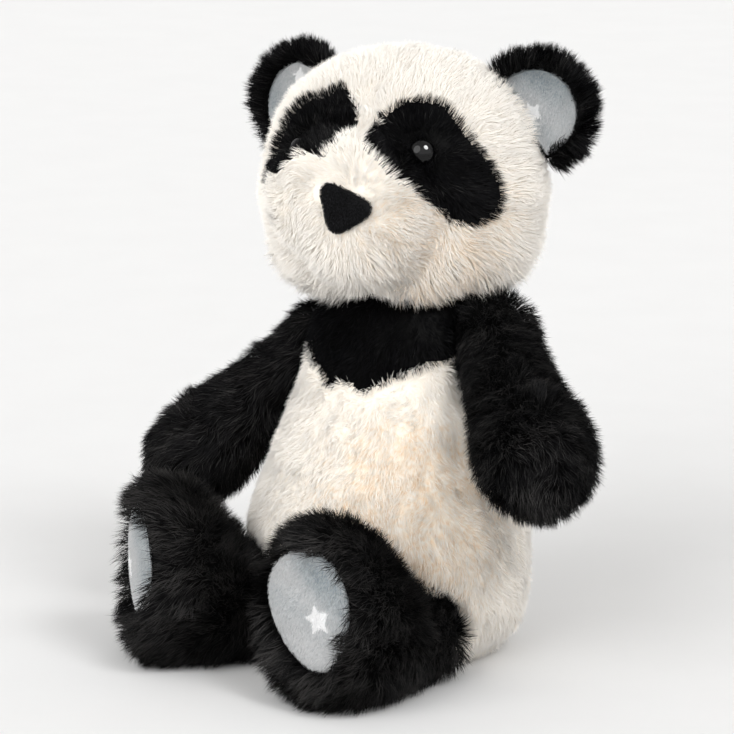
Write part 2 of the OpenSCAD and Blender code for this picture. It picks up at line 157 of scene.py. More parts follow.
def join(tree, source, target):
    """A link from (node, output) to (node, input)."""
    tree.links.new(source[0].outputs[source[1]], target[0].inputs[target[1]])


scene.view_settings.view_transform = "Standard"
world = bpy.data.worlds.new("studio")
scene.world = world
world.use_nodes = True
sky = world.node_tree
sky.nodes.clear()
seen = sky.nodes.new("ShaderNodeLightPath")
direct = sky.nodes.new("ShaderNodeMath")
direct.operation = "MAXIMUM"
mirror = sky.nodes.new("ShaderNodeMath")
mirror.operation = "MAXIMUM"
ambient = sky.nodes.new("ShaderNodeBackground")
ambient.inputs["Color"].default_value = SKY_TINT
ambient.inputs["Strength"].default_value = SKY_POWER
backdrop = sky.nodes.new("ShaderNodeBackground")
backdrop.inputs["Color"].default_value = BACKDROP_TINT
backdrop.inputs["Strength"].default_value = BACKDROP_POWER
either = sky.nodes.new("ShaderNodeMixShader")
shown = sky.nodes.new("ShaderNodeOutputWorld")
join(sky, (seen, "Is Camera Ray"), (direct, 0))
join(sky, (seen, "Is Transmission Ray"), (direct, 1))
join(sky, (direct, 0), (mirror, 0))
join(sky, (seen, "Is Glossy Ray"), (mirror, 1))
join(sky, (mirror, 0), (either, 0))
join(sky, (ambient, 0), (either, 1))
join(sky, (backdrop, 0), (either, 2))
join(sky, (either, 0), (shown, "Surface"))
print("sky:", SKY_POWER, "strong, backdrop", BACKDROP_POWER)

# %% Floor
FLOOR_HALF = 4.0
floor_corners = [(x * FLOOR_HALF, y * FLOOR_HALF, 0) for x, y in ((-1, -1), (1, -1), (1, 1), (-1, 1))]
floor_mesh = bpy.data.meshes.new("floor")
floor_mesh.from_pydata(floor_corners, [], [(0, 1, 2, 3)])
floor = bpy.data.objects.new("floor", floor_mesh)
scene.collection.objects.link(floor)
print("floor:", 2 * FLOOR_HALF, "m wide")

# %% [markdown]
# ## Finishes
# Pile fabric is coloured along the fibre and from fibre to fibre, not over the surface. Each fibre
# therefore carries its own place on a small colour card: across the card the shade changes from fibre
# to fibre, and up the card the colour runs from the root to the tip. The long fur, the short velour and
# the fleece all use such a card. The stuffing, the cord, the plastic and the floor's paper have no fibres
# of that size, so noise in their nodes gives the blotches and the grain.

# %% Finishes of pile
CARD = "OFBake"


def paint(code):
    """A colour written as in a paint program, as linear light."""
    parts = [int(code[i:i + 2], 16) / 255 for i in (1, 3, 5)]
    return tuple(p / 12.92 if p <= 0.04045 else ((p + 0.055) / 1.055) ** 2.4 for p in parts) + (1,)


def new_finish(name, rough, sheen=0.0, shine=0.5):
    """A material with a plain surface shader to build on. shine is how strongly it mirrors."""
    finish = bpy.data.materials.new(name)
    finish.use_nodes = True
    shader = finish.node_tree.nodes["Principled BSDF"]
    shader.inputs["Roughness"].default_value = rough
    shader.inputs["Sheen Weight"].default_value = sheen
    shader.inputs["Specular IOR Level"].default_value = shine
    return finish, finish.node_tree, shader


def ramp(tree, colours):
    """An even run of colours."""
    node = tree.nodes.new("ShaderNodeValToRGB")
    stops = node.color_ramp.elements
    while len(stops) < len(colours):
        stops.new(0.5)
    for i, code in enumerate(colours):
        stops[i].position = i / (len(colours) - 1)
        stops[i].color = paint(code)
    return node


def fur_finish(name, roots, tips, rough, sheen, shine):
    """Fibres coloured by their place on the colour card."""
    finish, tree, shader = new_finish(name, rough, sheen, shine)
    card = tree.nodes.new("ShaderNodeUVMap")
    card.uv_map = CARD
    place = tree.nodes.new("ShaderNodeSeparateXYZ")
    low, high = ramp(tree, roots), ramp(tree, tips)
    along = tree.nodes.new("ShaderNodeMix")
    along.data_type = "RGBA"
    join(tree, (card, "UV"), (place, 0))
    join(tree, (place, "X"), (low, "Fac"))
    join(tree, (place, "X"), (high, "Fac"))
    join(tree, (place, "Y"), (along, "Factor"))
    join(tree, (low, "Color"), (along, 6))
    join(tree, (high, "Color"), (along, 7))
    join(tree, (along, 2), (shader, "Base Color"))
    return finish


# Across the card the cream runs from pale to peach. Up the card the roots are warmer than the tips: partly
# the fibres' own colour, partly painted warm shade deep in the pile.
CREAM = fur_finish(
    "cream_fur",
    roots=["#f9eedd", "#fbf3e7", "#f7e6d0", "#f0d2af"],
    tips=["#fefaf2", "#fffcf7", "#fdf3e7", "#f9e3c9"],
    rough=0.85, sheen=0.35, shine=0.3,
)
# The lightest tips are partly the fabric's own frosted tips, partly painted strand highlights.
BLACK = fur_finish(
    "black_fur",
    roots=["#040404", "#060606", "#080808", "#0c0c0c"],
    tips=["#08080a", "#121214", "#252525", "#504e4d"],
    rough=0.5, sheen=0.0, shine=0.02,
)
# The dark bluish end of the card serves the random blotches and the painted shade on one corner of each
# velour piece.
VELOUR = fur_finish(
    "grey_velour",
    roots=["#7f8a90", "#a3a9ac", "#b7b9ba", "#c8c8c8", "#f3f4f5"],
    tips=["#939da2", "#b9bec0", "#cdcecf", "#dddddd", "#fdfdfd"],
    rough=0.85, sheen=0.2, shine=0.3,
)
FLEECE = fur_finish(
    "black_velour",
    roots=["#030303", "#050506", "#070708"],
    tips=["#0a0a0b", "#161618", "#28282b"],
    rough=0.75, sheen=0.03, shine=0.06,
)
print("pile finishes:", CREAM.name, BLACK.name, VELOUR.name, FLEECE.name)

# %% Finishes with a grain
GRAIN_SHARE, BLOTCH_SHARE = 0.45, 0.6
BLOTCH_LOW, BLOTCH_HIGH = 0.35, 0.65
BUMP_STRENGTH = 0.5


def noise(tree, scale, detail=2.0):
    """A noise pattern that keeps its place on the object."""
    place = tree.nodes.new("ShaderNodeTexCoord")
    pattern = tree.nodes.new("ShaderNodeTexNoise")
    pattern.inputs["Scale"].default_value = scale
    pattern.inputs["Detail"].default_value = detail
    join(tree, (place, "Object"), (pattern, "Vector"))
    return pattern


def grainy_finish(name, colours, rough, sheen, blotch, grain, depth, shine=0.5):
    """A finish in several tones: soft blotches, with a fine grain that also gives the bump."""
    finish, tree, shader = new_finish(name, rough, sheen, shine)
    patches = noise(tree, blotch, detail=3.0)
    specks = noise(tree, grain)
    tone = tree.nodes.new("ShaderNodeMath")
    tone.operation = "MULTIPLY_ADD"
    tone.inputs[1].default_value = GRAIN_SHARE
    colour = ramp(tree, colours)
    bump = tree.nodes.new("ShaderNodeBump")
    bump.inputs["Strength"].default_value = BUMP_STRENGTH
    bump.inputs["Distance"].default_value = depth
    spread = tree.nodes.new("ShaderNodeMapRange")
    spread.inputs["From Min"].default_value = BLOTCH_LOW
    spread.inputs["From Max"].default_value = BLOTCH_HIGH
    spread.inputs["To Max"].default_value = BLOTCH_SHARE
    join(tree, (specks, 0), (tone, 0))
    join(tree, (patches, 0), (spread, 0))
    join(tree, (spread, 0), (tone, 2))
    join(tree, (tone, 0), (colour, "Fac"))
    join(tree, (colour, "Color"), (shader, "Base Color"))
    join(tree, (specks, 0), (bump, "Height"))
    join(tree, (bump, 0), (shader, "Normal"))
    return finish


WADDING = grainy_finish(
    "stuffing", ["#e8e8e4", "#f2f2ef", "#fafaf8"],
    rough=0.95, sheen=0.2, blotch=60, grain=500, depth=0.5 * MM,
)
BAG = grainy_finish(
    "pellets", ["#d9d6cf", "#e6e3dc", "#f0eee8"],
    rough=0.8, sheen=0.1, blotch=90, grain=900, depth=0.4 * MM,
)
CORD = grainy_finish(
    "sewing_cord", ["#101012", "#1c1c20", "#2a2a2e"],
    rough=0.7, sheen=0.1, blotch=300, grain=2500, depth=0.15 * MM,
)
WASHER = grainy_finish(
    "washer_plastic", ["#dedcd6", "#e6e4df", "#eceae5"],
    rough=0.4, sheen=0.0, blotch=150, grain=1200, depth=0.03 * MM,
)
PAPER = grainy_finish(
    "floor_paper", ["#e3e3e3", "#e4e4e4", "#e5e5e5"],
    rough=0.9, sheen=0.0, blotch=20, grain=300, depth=0.01 * MM, shine=0.0,
)
floor.data.materials.append(PAPER)

EYE, eye_tree, eye_shader = new_finish("eye_plastic", rough=0.02, shine=0.25)
eye_tone = ramp(eye_tree, ["#030303", "#060607"])
eye_grain = noise(eye_tree, scale=400)
join(eye_tree, (eye_grain, 0), (eye_tone, "Fac"))
join(eye_tree, (eye_tone, "Color"), (eye_shader, "Base Color"))
print("finishes:", len(bpy.data.materials))

# %% [markdown]
# ## One skin for each stuffed body
# A sewn and stuffed body is one smooth skin with seams in it, though it was cut as flat panels. The
# panels of the frame are separate shells with straight facets. They could be subdivided one by one, but
# their edges would part. Instead all the pieces of a body are remeshed together into one skin, which is
# smoothed, moved out or in a little where the stuffing swells it, and then shared out again among its
# panels.

# %% One skin for each stuffed body
SKIN_CELL = 1.7 * MM
SMOOTH_ROUNDS = 12
EVEN_STEP, BACK_STEP = 0.5, -0.52
TINY = 1e-12


def unit(rows):
    """Rows scaled to length one."""
    return rows / np.maximum(np.linalg.norm(rows, axis=-1, keepdims=True), TINY)


def node_points(*names):
    """The corners of one or more nodes."""
    return np.array([v.co for name in names for v in nodes[name].data.vertices])


def node_tree(*names):
    """A search tree over the faces of one or more nodes."""
    points, faces = [], []
    for name in names:
        base = len(points)
        points.extend(v.co.copy() for v in nodes[name].data.vertices)
        faces.extend([base + i for i in p.vertices] for p in nodes[name].data.polygons)
    return BVHTree.FromPolygons(points, faces)


def gaps(points, tree):
    """The distance of each point from the faces of a search tree."""
    return np.array([tree.find_nearest(p)[3] for p in points])


class Skin:
    """A closed surface of four-cornered faces."""

    def __init__(self, points, quads):
        self.points, self.quads = points, quads
        self.edges = np.concatenate([quads[:, [i, (i + 1) % 4]] for i in range(4)])
        self.aim()

    def aim(self):
        """Works out which way each point faces."""
        a, b, c, d = (self.points[self.quads[:, i]] for i in range(4))
        across = np.cross(c - a, d - b)
        self.areas = np.linalg.norm(across, axis=1) / 2
        total = np.zeros_like(self.points)
        for i in range(4):
            np.add.at(total, self.quads[:, i], across)
        self.normals = unit(total)

    def smooth(self, rounds, back=BACK_STEP, share=1.0):
        """Evens the surface, all over or by a share for each point. A step back after each keeps its size."""
        count = np.bincount(self.edges[:, 0], minlength=len(self.points))[:, None]
        share = np.reshape(share, (-1, 1))
        for i in range(2 * rounds):
            total = np.zeros_like(self.points)
            np.add.at(total, self.edges[:, 0], self.points[self.edges[:, 1]])
            pull = total / count - self.points
            self.points = self.points + pull * (EVEN_STEP, back)[i % 2] * share
        self.aim()

    def draw_in(self, depth):
        """Moves the surface inwards, by one depth or by one for each point."""
        self.points = self.points - self.normals * np.reshape(depth, (-1, 1))
        self.aim()


def remeshed(names, cell):
    """The outside of one or more nodes in even four-cornered faces: points and faces of its largest part."""
    form = bmesh.new()
    for name in names:
        form.from_mesh(nodes[name].data)
    mesh = bpy.data.meshes.new("form")
    form.to_mesh(mesh)
    form.free()
    blank = bpy.data.objects.new("form", mesh)
    scene.collection.objects.link(blank)
    remesh = blank.modifiers.new("remesh", "REMESH")
    remesh.mode = "VOXEL"
    remesh.voxel_size = cell
    made = blank.evaluated_get(bpy.context.evaluated_depsgraph_get()).to_mesh()
    points = np.array([v.co for v in made.vertices])
    quads = np.array([tuple(p.vertices) for p in made.polygons])
    bpy.data.objects.remove(blank)
    bpy.data.meshes.remove(mesh)
    label = np.arange(len(points))
    while True:
        lowest = label.copy()
        np.minimum.at(lowest, quads.ravel(), np.repeat(label[quads].min(axis=1), 4))
        lowest = lowest[lowest]
        if (lowest == label).all():
            break
        label = lowest
    kept = label == np.bincount(label).argmax()
    place = np.cumsum(kept) - 1
    return points[kept], place[quads[kept[quads[:, 0]]]]


def sewn_skin(*names, cell=SKIN_CELL, rounds=SMOOTH_ROUNDS):
    """The smooth skin round several nodes."""
    skin = Skin(*remeshed(names, cell))
    skin.smooth(rounds)
    skin.points[:, 2] = np.maximum(skin.points[:, 2], 0)
    print("skin of", names[0], "and", len(names) - 1, "more:", len(skin.quads), "faces")
    return skin


print("skins: faces about", round(SKIN_CELL / MM, 1), "mm wide")

# %% [markdown]
# ## Fibres
# A hair system would be the usual way, but its hairs live only in the render. Here each fibre is a
# slender spindle of six triangles: a root in the cloth, a ring where it bends, and a tip. A comb field
# lays the pile, waves disturb it, and neighbouring tips are drawn together into locks, as handled plush
# shows. For the light a fibre faces as its flank does, turned up a little towards the way the cloth faces,
# or each would glitter by itself.

# %% Fibres
FEWER = 1.0
WAVES, WAVE_SWING = 5, 2.2
BROAD_WAVE, FINE_WAVE, FINE_SHARE = 22 * MM, 7 * MM, 0.6
ROOT_DEPTH, FLOOR_CLEAR = 0.5 * MM, 0.3 * MM
LEAN_CHANCE, TIP_STRAY = 7, 1.3
KNEE_AT = 0.45
GATHER_RANGE, WIDTH_RANGE = (0.5, 1.3), (0.75, 1.25)
KNEE_APART, KNEE_PULL, TIP_APART = 0.7, 0.5, 0.2
FIBRE_ROUND, FIBRE_TILT = 0.15, 0.8
ROOT_PLACE, TIP_PLACE = 0.02, 0.98
CARD_EDGE, CARD_HALF = 0.01, 0.004
RING = [0, 2 * math.pi / 3, 4 * math.pi / 3]
SPINDLE = np.array([[0, 2, 1], [0, 3, 2], [0, 1, 3], [1, 2, 4], [2, 3, 4], [3, 1, 4]])


def drift(points, size, seed):
    """Three smooth random values at each point, in waves about size long."""
    rng = np.random.default_rng(seed)
    waves = rng.normal(0, 2 * math.pi / size / math.sqrt(3), (3, WAVES, 3))
    phases = rng.uniform(0, 2 * math.pi, (3, WAVES))
    sums = [np.sin(points @ wave.T + phase).sum(axis=1) for wave, phase in zip(waves, phases)]
    return np.stack([total / WAVE_SWING for total in sums], axis=1)


class Pile:
    """How a fur fabric's fibres grow."""

    def __init__(self, lean, bend, mess, stray, lock, gather, droop, width):
        self.lean, self.bend = lean, bend
        self.mess, self.stray = mess, stray
        self.lock, self.gather = lock, gather
        self.droop, self.width = droop, width


def fibres(pile, roots, normals, comb, length, rng, seed):
    """Spindles on roots, five corners each, and the way that each corner faces for the light."""
    way = comb + drift(roots, BROAD_WAVE, seed) * pile.mess
    way = way + drift(roots, FINE_WAVE, seed + 1) * pile.mess * FINE_SHARE
    way = way - normals * (way * normals).sum(axis=1, keepdims=True)
    way = way / np.maximum(np.linalg.norm(way, axis=1, keepdims=True), 1)
    count = len(roots)
    lean = np.radians(pile.lean + rng.normal(0, LEAN_CHANCE, (count, 1)))
    bend = lean + np.radians(pile.bend)
    first = normals * np.cos(lean) + way * np.sin(lean) + rng.normal(0, pile.stray, (count, 3))
    second = normals * np.cos(bend) + way * np.sin(bend) + rng.normal(0, TIP_STRAY * pile.stray, (count, 3))
    length = length[:, None]
    knee = roots + unit(first) * length * KNEE_AT
    tip = knee + unit(second) * length * (1 - KNEE_AT) - np.array([0, 0, pile.droop]) * length
    guides = rng.permutation(count)[:int(math.ceil(count / pile.lock))]
    tree = KDTree(len(guides))
    for place, guide in enumerate(guides):
        tree.insert(roots[guide], place)
    tree.balance()
    own = guides[np.array([tree.find(root)[1] for root in roots], int)]
    aside = roots - roots[own]
    pull = pile.gather * rng.uniform(*GATHER_RANGE, (count, 1))
    knee = knee + (knee[own] + aside * KNEE_APART - knee) * pull * KNEE_PULL
    tip = tip + (tip[own] + aside * TIP_APART - tip) * np.clip(pull, 0, 1)
    along = unit(tip - roots)
    side = unit(np.cross(along, rng.normal(size=(count, 3))))
    over = np.cross(along, side)
    width = pile.width * rng.uniform(*WIDTH_RANGE, (count, 1)) / 2
    round_it = [side * math.cos(a) + over * math.sin(a) for a in RING]
    sunk = roots - normals * ROOT_DEPTH
    corners = np.stack([sunk] + [knee + r * width for r in round_it] + [tip], axis=1)
    corners[:, :, 2] = np.maximum(corners[:, :, 2], FLOOR_CLEAR)
    flank = unit(normals - along * (along * normals).sum(axis=1, keepdims=True) * FIBRE_TILT)
    facing = np.stack([flank] + [flank + FIBRE_ROUND * r for r in round_it] + [flank], axis=1)
    return corners, unit(facing)


def card_places(shades):
    """Each corner's place on the colour card, for spindles of the given shades."""
    across = np.clip(shades, CARD_EDGE, 1 - CARD_EDGE)[:, None] + np.array([0, -CARD_HALF, 0, CARD_HALF, 0])
    along = np.broadcast_to([ROOT_PLACE, KNEE_AT, KNEE_AT, KNEE_AT, TIP_PLACE], across.shape)
    return np.stack([across, along], axis=2)


print("fibres:", "all of them")

# %% [markdown]
# ## Pieces of cloth
# A skin and its fibres are only rows of numbers so far. They could be handed to Blender corner by corner,
# but whole rows at once are much quicker. Each piece then gets its finish, the body that it moves with and
# the solid that it stands for. Fur fabric is a sheet with a back and an edge, so that it is closed and has
# a thickness where a seam would show it.

# %% Pieces of cloth
NO_TRIANGLES = np.zeros((0, 3), int)


def solid(name, points, quads, triangles, places=None, facing=None):
    """A smooth mesh object from rows of corners, with their card places and the way they face."""
    mesh = bpy.data.meshes.new(name)
    corners = np.concatenate([np.ravel(quads), np.ravel(triangles)]).astype(np.int32)
    starts = np.concatenate([np.arange(len(quads)) * 4, len(quads) * 4 + np.arange(len(triangles)) * 3])
    mesh.vertices.add(len(points))
    mesh.vertices.foreach_set("co", np.ravel(points).astype(np.float32))
    mesh.loops.add(len(corners))
    mesh.loops.foreach_set("vertex_index", corners)
    mesh.polygons.add(len(starts))
    mesh.polygons.foreach_set("loop_start", starts.astype(np.int32))
    mesh.polygons.foreach_set("use_smooth", np.ones(len(starts), bool))
    mesh.update(calc_edges=True)
    if places is not None:
        card = mesh.uv_layers.new(name=CARD)
        card.uv.foreach_set("vector", np.ravel(places[corners]).astype(np.float32))
    if facing is not None:
        given = mesh.attributes.new("custom_normal", "FLOAT_VECTOR", "POINT")
        given.data.foreach_set("vector", np.ravel(facing).astype(np.float32))
    obj = bpy.data.objects.new(name, mesh)
    scene.collection.objects.link(obj)
    return obj


def cloth(skin, faces, depth):
    """A sheet with a back and an edge from some faces of a skin: points, faces and the way they face."""
    quads = skin.quads[faces]
    used = np.unique(quads)
    place = np.full(len(skin.points), -1)
    place[used] = np.arange(len(used))
    quads = place[quads]
    outer = skin.points[used]
    inner = outer - skin.normals[used] * depth
    edges = np.concatenate([quads[:, [i, (i + 1) % 4]] for i in range(4)])
    keys = edges[:, 0] * len(used) + edges[:, 1]
    rim = edges[~np.isin(keys, edges[:, 1] * len(used) + edges[:, 0])]
    wall = np.stack([rim[:, 1], rim[:, 0], rim[:, 0] + len(used), rim[:, 1] + len(used)], axis=1)
    facing = np.concatenate([skin.normals[used], -skin.normals[used]])
    faces = np.concatenate([quads, quads[:, ::-1] + len(used), wall])
    return np.concatenate([outer, inner]), faces, facing


def finish_piece(obj, finish, body, replaced, slot):
    """Gives a piece its finish, its body and the node that it stands for."""
    obj.data.materials.append(finish)
    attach(obj, body)
    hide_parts(replaced)


print("cloth: ready to cut")

# %% [markdown]
# ## Growing fur
# Roots are sown over a whole skin at once, so that the pile runs on across the seams, and each root then
# belongs to the panel that it stands nearest to. Panel by panel would be simpler, but would leave a gap at
# each seam. Where another piece touches the fabric, the pile is shorter or left out, which the length and
# the weight at each point of the skin say.

# %% Growing fur
CLOTH_DEPTH, COVER_FILL = 1.2 * MM, 0.75
LENGTH_RANGE = (0.8, 1.12)
BACKING_PLACE = 0.03
PANEL_STEP = 10


def furry(name, node, body, sheet, spindles, shade, rng, finish, slot):
    """A piece of pile fabric: its cloth and its fibres in one, each with the way it faces."""
    points, quads, cloth_facing = sheet
    corners, fibre_facing = spindles
    height = points[:, 2] - points[:, 2].min()
    backing = np.stack([shade(points, rng), BACKING_PLACE * height / max(height.max(), MM)], axis=1)
    shades = shade(corners[:, 0], rng)
    firsts = corners.shape[1] * np.arange(len(corners))[:, None, None] + len(points)
    triangles = (SPINDLE[None] + firsts).reshape(-1, 3)
    obj = solid(
        name, np.concatenate([points, corners.reshape(-1, 3)]), quads, triangles,
        np.concatenate([backing, card_places(shades).reshape(-1, 2)]),
        np.concatenate([cloth_facing, fibre_facing.reshape(-1, 3)]),
    )
    finish_piece(obj, finish, body, node, slot)
    print(name, "has", len(corners), "fibres on", len(quads), "faces of cloth")
    return obj


def sow(skin, weight, count, rng):
    """Roots spread over a skin by the weight of its points: each one's face and shares of the corners."""
    chance = skin.areas * weight[skin.quads].mean(axis=1)
    faces = rng.choice(len(chance), int(count * FEWER), p=chance / chance.sum())
    s, t = rng.random((2, len(faces)))
    return faces, np.stack([(1 - s) * (1 - t), s * (1 - t), s * t, (1 - s) * t], axis=1)


def at_roots(skin, faces, mix, values):
    """A value of the skin's points at each root."""
    corners = values[skin.quads[faces]]
    return (corners * mix.reshape(mix.shape + (1,) * (corners.ndim - 2))).sum(axis=1)


def grow(
    body, skin, panels, weight, count, comb, length, seed,
    depth=CLOTH_DEPTH, reach=None, cut=None,
):
    """Covers a skin with fur. panels gives each node's finish, slot, pile and shades by its name.

    depth is the cloth's thickness, or None where the skin is a closed piece by itself.
    reach says, for some of the nodes, how far past its solid's edge the cloth goes at each point.
    cut holds the skin's points as they lay on the solids, where they have been moved since."""
    rng = np.random.default_rng(seed)
    names = list(panels)
    reach = reach or {}
    places = skin.points if cut is None else cut
    share = np.stack([gaps(places, node_tree(name)) - reach.get(name, 0) for name in names], axis=1)
    owner = share[skin.quads].mean(axis=1).argmin(axis=1)
    faces, mix = sow(skin, weight, count, rng)
    roots = at_roots(skin, faces, mix, skin.points)
    normals = unit(at_roots(skin, faces, mix, skin.normals))
    ways = at_roots(skin, faces, mix, comb)
    lengths = at_roots(skin, faces, mix, length) * rng.uniform(*LENGTH_RANGE, len(roots))
    grown_by = at_roots(skin, faces, mix, share).argmin(axis=1)
    for i, name in enumerate(names):
        finish, slot, pile, shade = panels[name]
        mine = grown_by == i
        own_seed = seed + PANEL_STEP * i
        spindles = fibres(pile, roots[mine], normals[mine], ways[mine], lengths[mine], rng, own_seed)
        sheet = (skin.points, skin.quads, skin.normals) if depth is None else cloth(skin, owner == i, depth)
        piece = name.replace("_panel", "") + "_fur"
        furry(piece, name, body, sheet, spindles, shade, rng, finish, slot)


print("fur: ready to grow,", FEWER, "of its fibres")

# %% [markdown]
# ## Shades of the two furs
# The cream fabric is pale, with peach fibres mixed in among the pale ones in soft cloudy places, most of
# all on the belly, under the left cheek and on the toy's left side: painted warm shade, set on the side
# away from the key light where light bounces inside the pile. The black fabric only varies a little. The
# clouds are smooth waves in space, so that neighbouring fibres agree, with a small step of chance from fibre
# to fibre.

# %% Shades of the two furs
CLOUD_SIZE, CLOUD_SEED, CLOUD_RANGE = 40 * MM, 71, (-1.1, 1.1)
MOTTLE_SIZE, MOTTLE_SEED, MOTTLE_SHARE = 9 * MM, 72, 0.7
CLOUD_LEAST, CLOUD_MORE = 0.7, 0.3
SPOT_CORE = 0.3
PEACH_CHANCE, PEACH_RANGE = 0.5, (-0.15, 0.6)
PALE_TONE, PEACH_TONE, CREAM_CHANCE = 0.25, 0.7, 0.08
DARK_SIZE, DARK_SEED, DARK_SHARE, DARK_CHANCE = 15 * MM, 73, 0.12, 0.22


def cream_shade(warmth, spot=(0, 0, 0), reach=1.0):
    """A shade for each root: pale, with more peach fibres among the pale ones nearer to a spot, which is
    painted warm shade.
    """
    def shade(roots, rng):
        mottle = MOTTLE_SHARE * drift(roots, MOTTLE_SIZE, MOTTLE_SEED)[:, 0]
        cloud = ease(drift(roots, CLOUD_SIZE, CLOUD_SEED)[:, 0] + mottle, *CLOUD_RANGE)
        near = 1 - ease(np.linalg.norm(roots - np.array(spot), axis=1), SPOT_CORE * reach, reach)
        # Painted warm shade: more peach fibres the nearer a root is to the spot.
        warm = warmth * near * (CLOUD_LEAST + CLOUD_MORE * cloud)
        peach = ease(warm - PEACH_CHANCE * rng.random(len(roots)), *PEACH_RANGE)
        return np.clip(PALE_TONE + PEACH_TONE * peach + rng.normal(0, CREAM_CHANCE, len(roots)), 0, 1)
    return shade


def black_shade(tone):
    """A shade for each root about a tone: 0 is the deepest black."""
    def shade(roots, rng):
        cloud = DARK_SHARE * drift(roots, DARK_SIZE, DARK_SEED)[:, 0]
        return np.clip(tone + cloud + rng.normal(0, DARK_CHANCE, len(roots)), 0, 1)
    return shade


SOFT_PILE = Pile(lean=50, bend=14, mess=0.4, stray=0.14, lock=8, gather=0.1, droop=0, width=0.23 * MM)
SHAG_PILE = Pile(lean=38, bend=16, mess=0.45, stray=0.16, lock=14, gather=0.4, droop=0.03, width=0.28 * MM)
SLEEK_PILE = Pile(lean=42, bend=16, mess=0.35, stray=0.14, lock=12, gather=0.3, droop=0.02, width=0.26 * MM)


def cream(*shade):
    """What a panel of the cream fabric is made of."""
    return CREAM, "cream_fur", SOFT_PILE, cream_shade(*shade)


def black(tone, pile=SLEEK_PILE):
    """What a panel of the black fabric is made of."""
    return BLACK, "black_fur", pile, black_shade(tone)


print("fabrics: cream, and black in a sleek and a shaggy pile")

# %% [markdown]
# ## Torso
# The belly and back are cream, and a black yoke runs round the shoulders and hangs to a blunt point on
# the chest. Its edge could follow the solid's seam exactly, but on the toy the long black pile hangs over
# it in uneven dips, and the cream pile just below is pushed up against it. Elsewhere the pile is brushed
# down. The seat is a flat disc of the same fabric, pressed by the toy's own weight, so it has no standing
# pile.

# %% Torso: skin and yoke's edge
TORSO_PANELS = ("chest_yoke", "belly_panel", "back_panel")
HEAD_PANELS = (
    "muzzle_panel", "head_gusset", "head_side_left", "head_side_right", "eye_patch_left", "eye_patch_right"
)
ARMS = ("arm_cover_left", "arm_cover_right")
LEGS = ("leg_cover_left", "leg_cover_right")
BARE, FULL = span(2.9, 10)
TORSO_OUT, TORSO_FREE, SEAT_RISE = 1.2 * MM, 0.4, span(2, 16)
BELLY_OUT, BELLY_HEIGHT, BELLY_HALF, BELLY_FRONT = 5 * MM, 48 * MM, 40 * MM, span(0, 30)
# Each dip's place round the chest and half width in degrees, and its depth.
YOKE_DIPS = ((9, 13, 6 * MM), (30, 22, 4 * MM), (-18, 10, 8 * MM), (-42, 20, 5 * MM))


def room(skin, *names, least=0.35, bare=BARE):
    """Where a skin may carry pile beside other pieces (0 or 1), and how much of its length."""
    clear = gaps(skin.points, node_tree(*names))
    return (clear > bare).astype(float), least + (1 - least) * ease(clear, bare, FULL)


torso = sewn_skin(*TORSO_PANELS, "seat_panel", "body_filling", "pellet_bag")
torso_weight, torso_room = room(torso, *HEAD_PANELS, *ARMS, *LEGS)
torso_weight = torso_weight * (torso.points[:, 2] > SEAT_RISE[0])
low_belly = bell(torso.points[:, 2] - BELLY_HEIGHT, BELLY_HALF) * (torso.points[:, 1] < 0)
torso_out = TORSO_OUT + BELLY_OUT * low_belly * ease(-torso.points[:, 1], *BELLY_FRONT)
torso.draw_in(-torso_out * ease(torso.points[:, 2], *SEAT_RISE) * ease(torso_room, TORSO_FREE, 1))
round_chest = np.degrees(np.arctan2(torso.points[:, 0], -torso.points[:, 1]))
yoke_dip = sum(dip * bell(round_chest - at, half) for at, half, dip in YOKE_DIPS)
below_yoke = gaps(torso.points, node_tree("chest_yoke")) - yoke_dip
below_yoke = below_yoke - gaps(torso.points, node_tree("belly_panel", "back_panel"))
on_yoke = below_yoke < 0
print("yoke: hangs", round(yoke_dip.max() / MM, 1), "mm past its seam at most")

# %% Torso: fur
YOKE_PILE, BELLY_PILE = 5.5 * MM, 5 * MM
SEAM_REACH, SEAM_LIFT = span(1, 9), 1.3
TORSO_FIBRES, TORSO_SEED = 84000, 100
# The belly's peach spot sits on the toy's left front, away from the key light: painted warm shade.
WARM_SHADE_SPOT, WARM_SHADE_REACH = heading(42, 0) * 55 * MM + Vector((0, 0, 66 * MM)), 72 * MM
# The yoke takes the deepest black tone: painted shadow that the head casts on it.
YOKE_SHADOW_TONE = 0
# How much painted warm shade each cream panel of the torso gets.
BELLY_WARMTH, BACK_WARMTH, SEAT_WARMTH = 0.68, 0.25, 0.1
over_seam = np.where(on_yoke, 0, 1 - ease(below_yoke, *SEAM_REACH))
torso_length = torso_room * np.where(on_yoke, YOKE_PILE, BELLY_PILE)
torso_comb = np.outer(SEAM_LIFT * over_seam - 1, UP)
grow(
    "torso", torso,
    {
        "chest_yoke": black(YOKE_SHADOW_TONE),
        "belly_panel": cream(BELLY_WARMTH, WARM_SHADE_SPOT, WARM_SHADE_REACH),
        "back_panel": cream(BACK_WARMTH),
        "seat_panel": cream(SEAT_WARMTH),
    },
    torso_weight, TORSO_FIBRES, torso_comb, torso_length, TORSO_SEED, reach={"chest_yoke": yoke_dip},
)

# %% [markdown]
# ## Head
# The head is a wide egg with a big domed muzzle, which the solids give. On the toy the stuffing makes the
# brow of the muzzle fuller on one side, rounds the cheeks, fills the crease beside the muzzle and lets the
# chin hang over the chest. These few millimetres could be sculpted by hand, but a push by rule keeps them
# where the pieces are. Each rule is a place on the head, told by how far a point is above the nose, to its
# left, and away from the muzzle's panel.

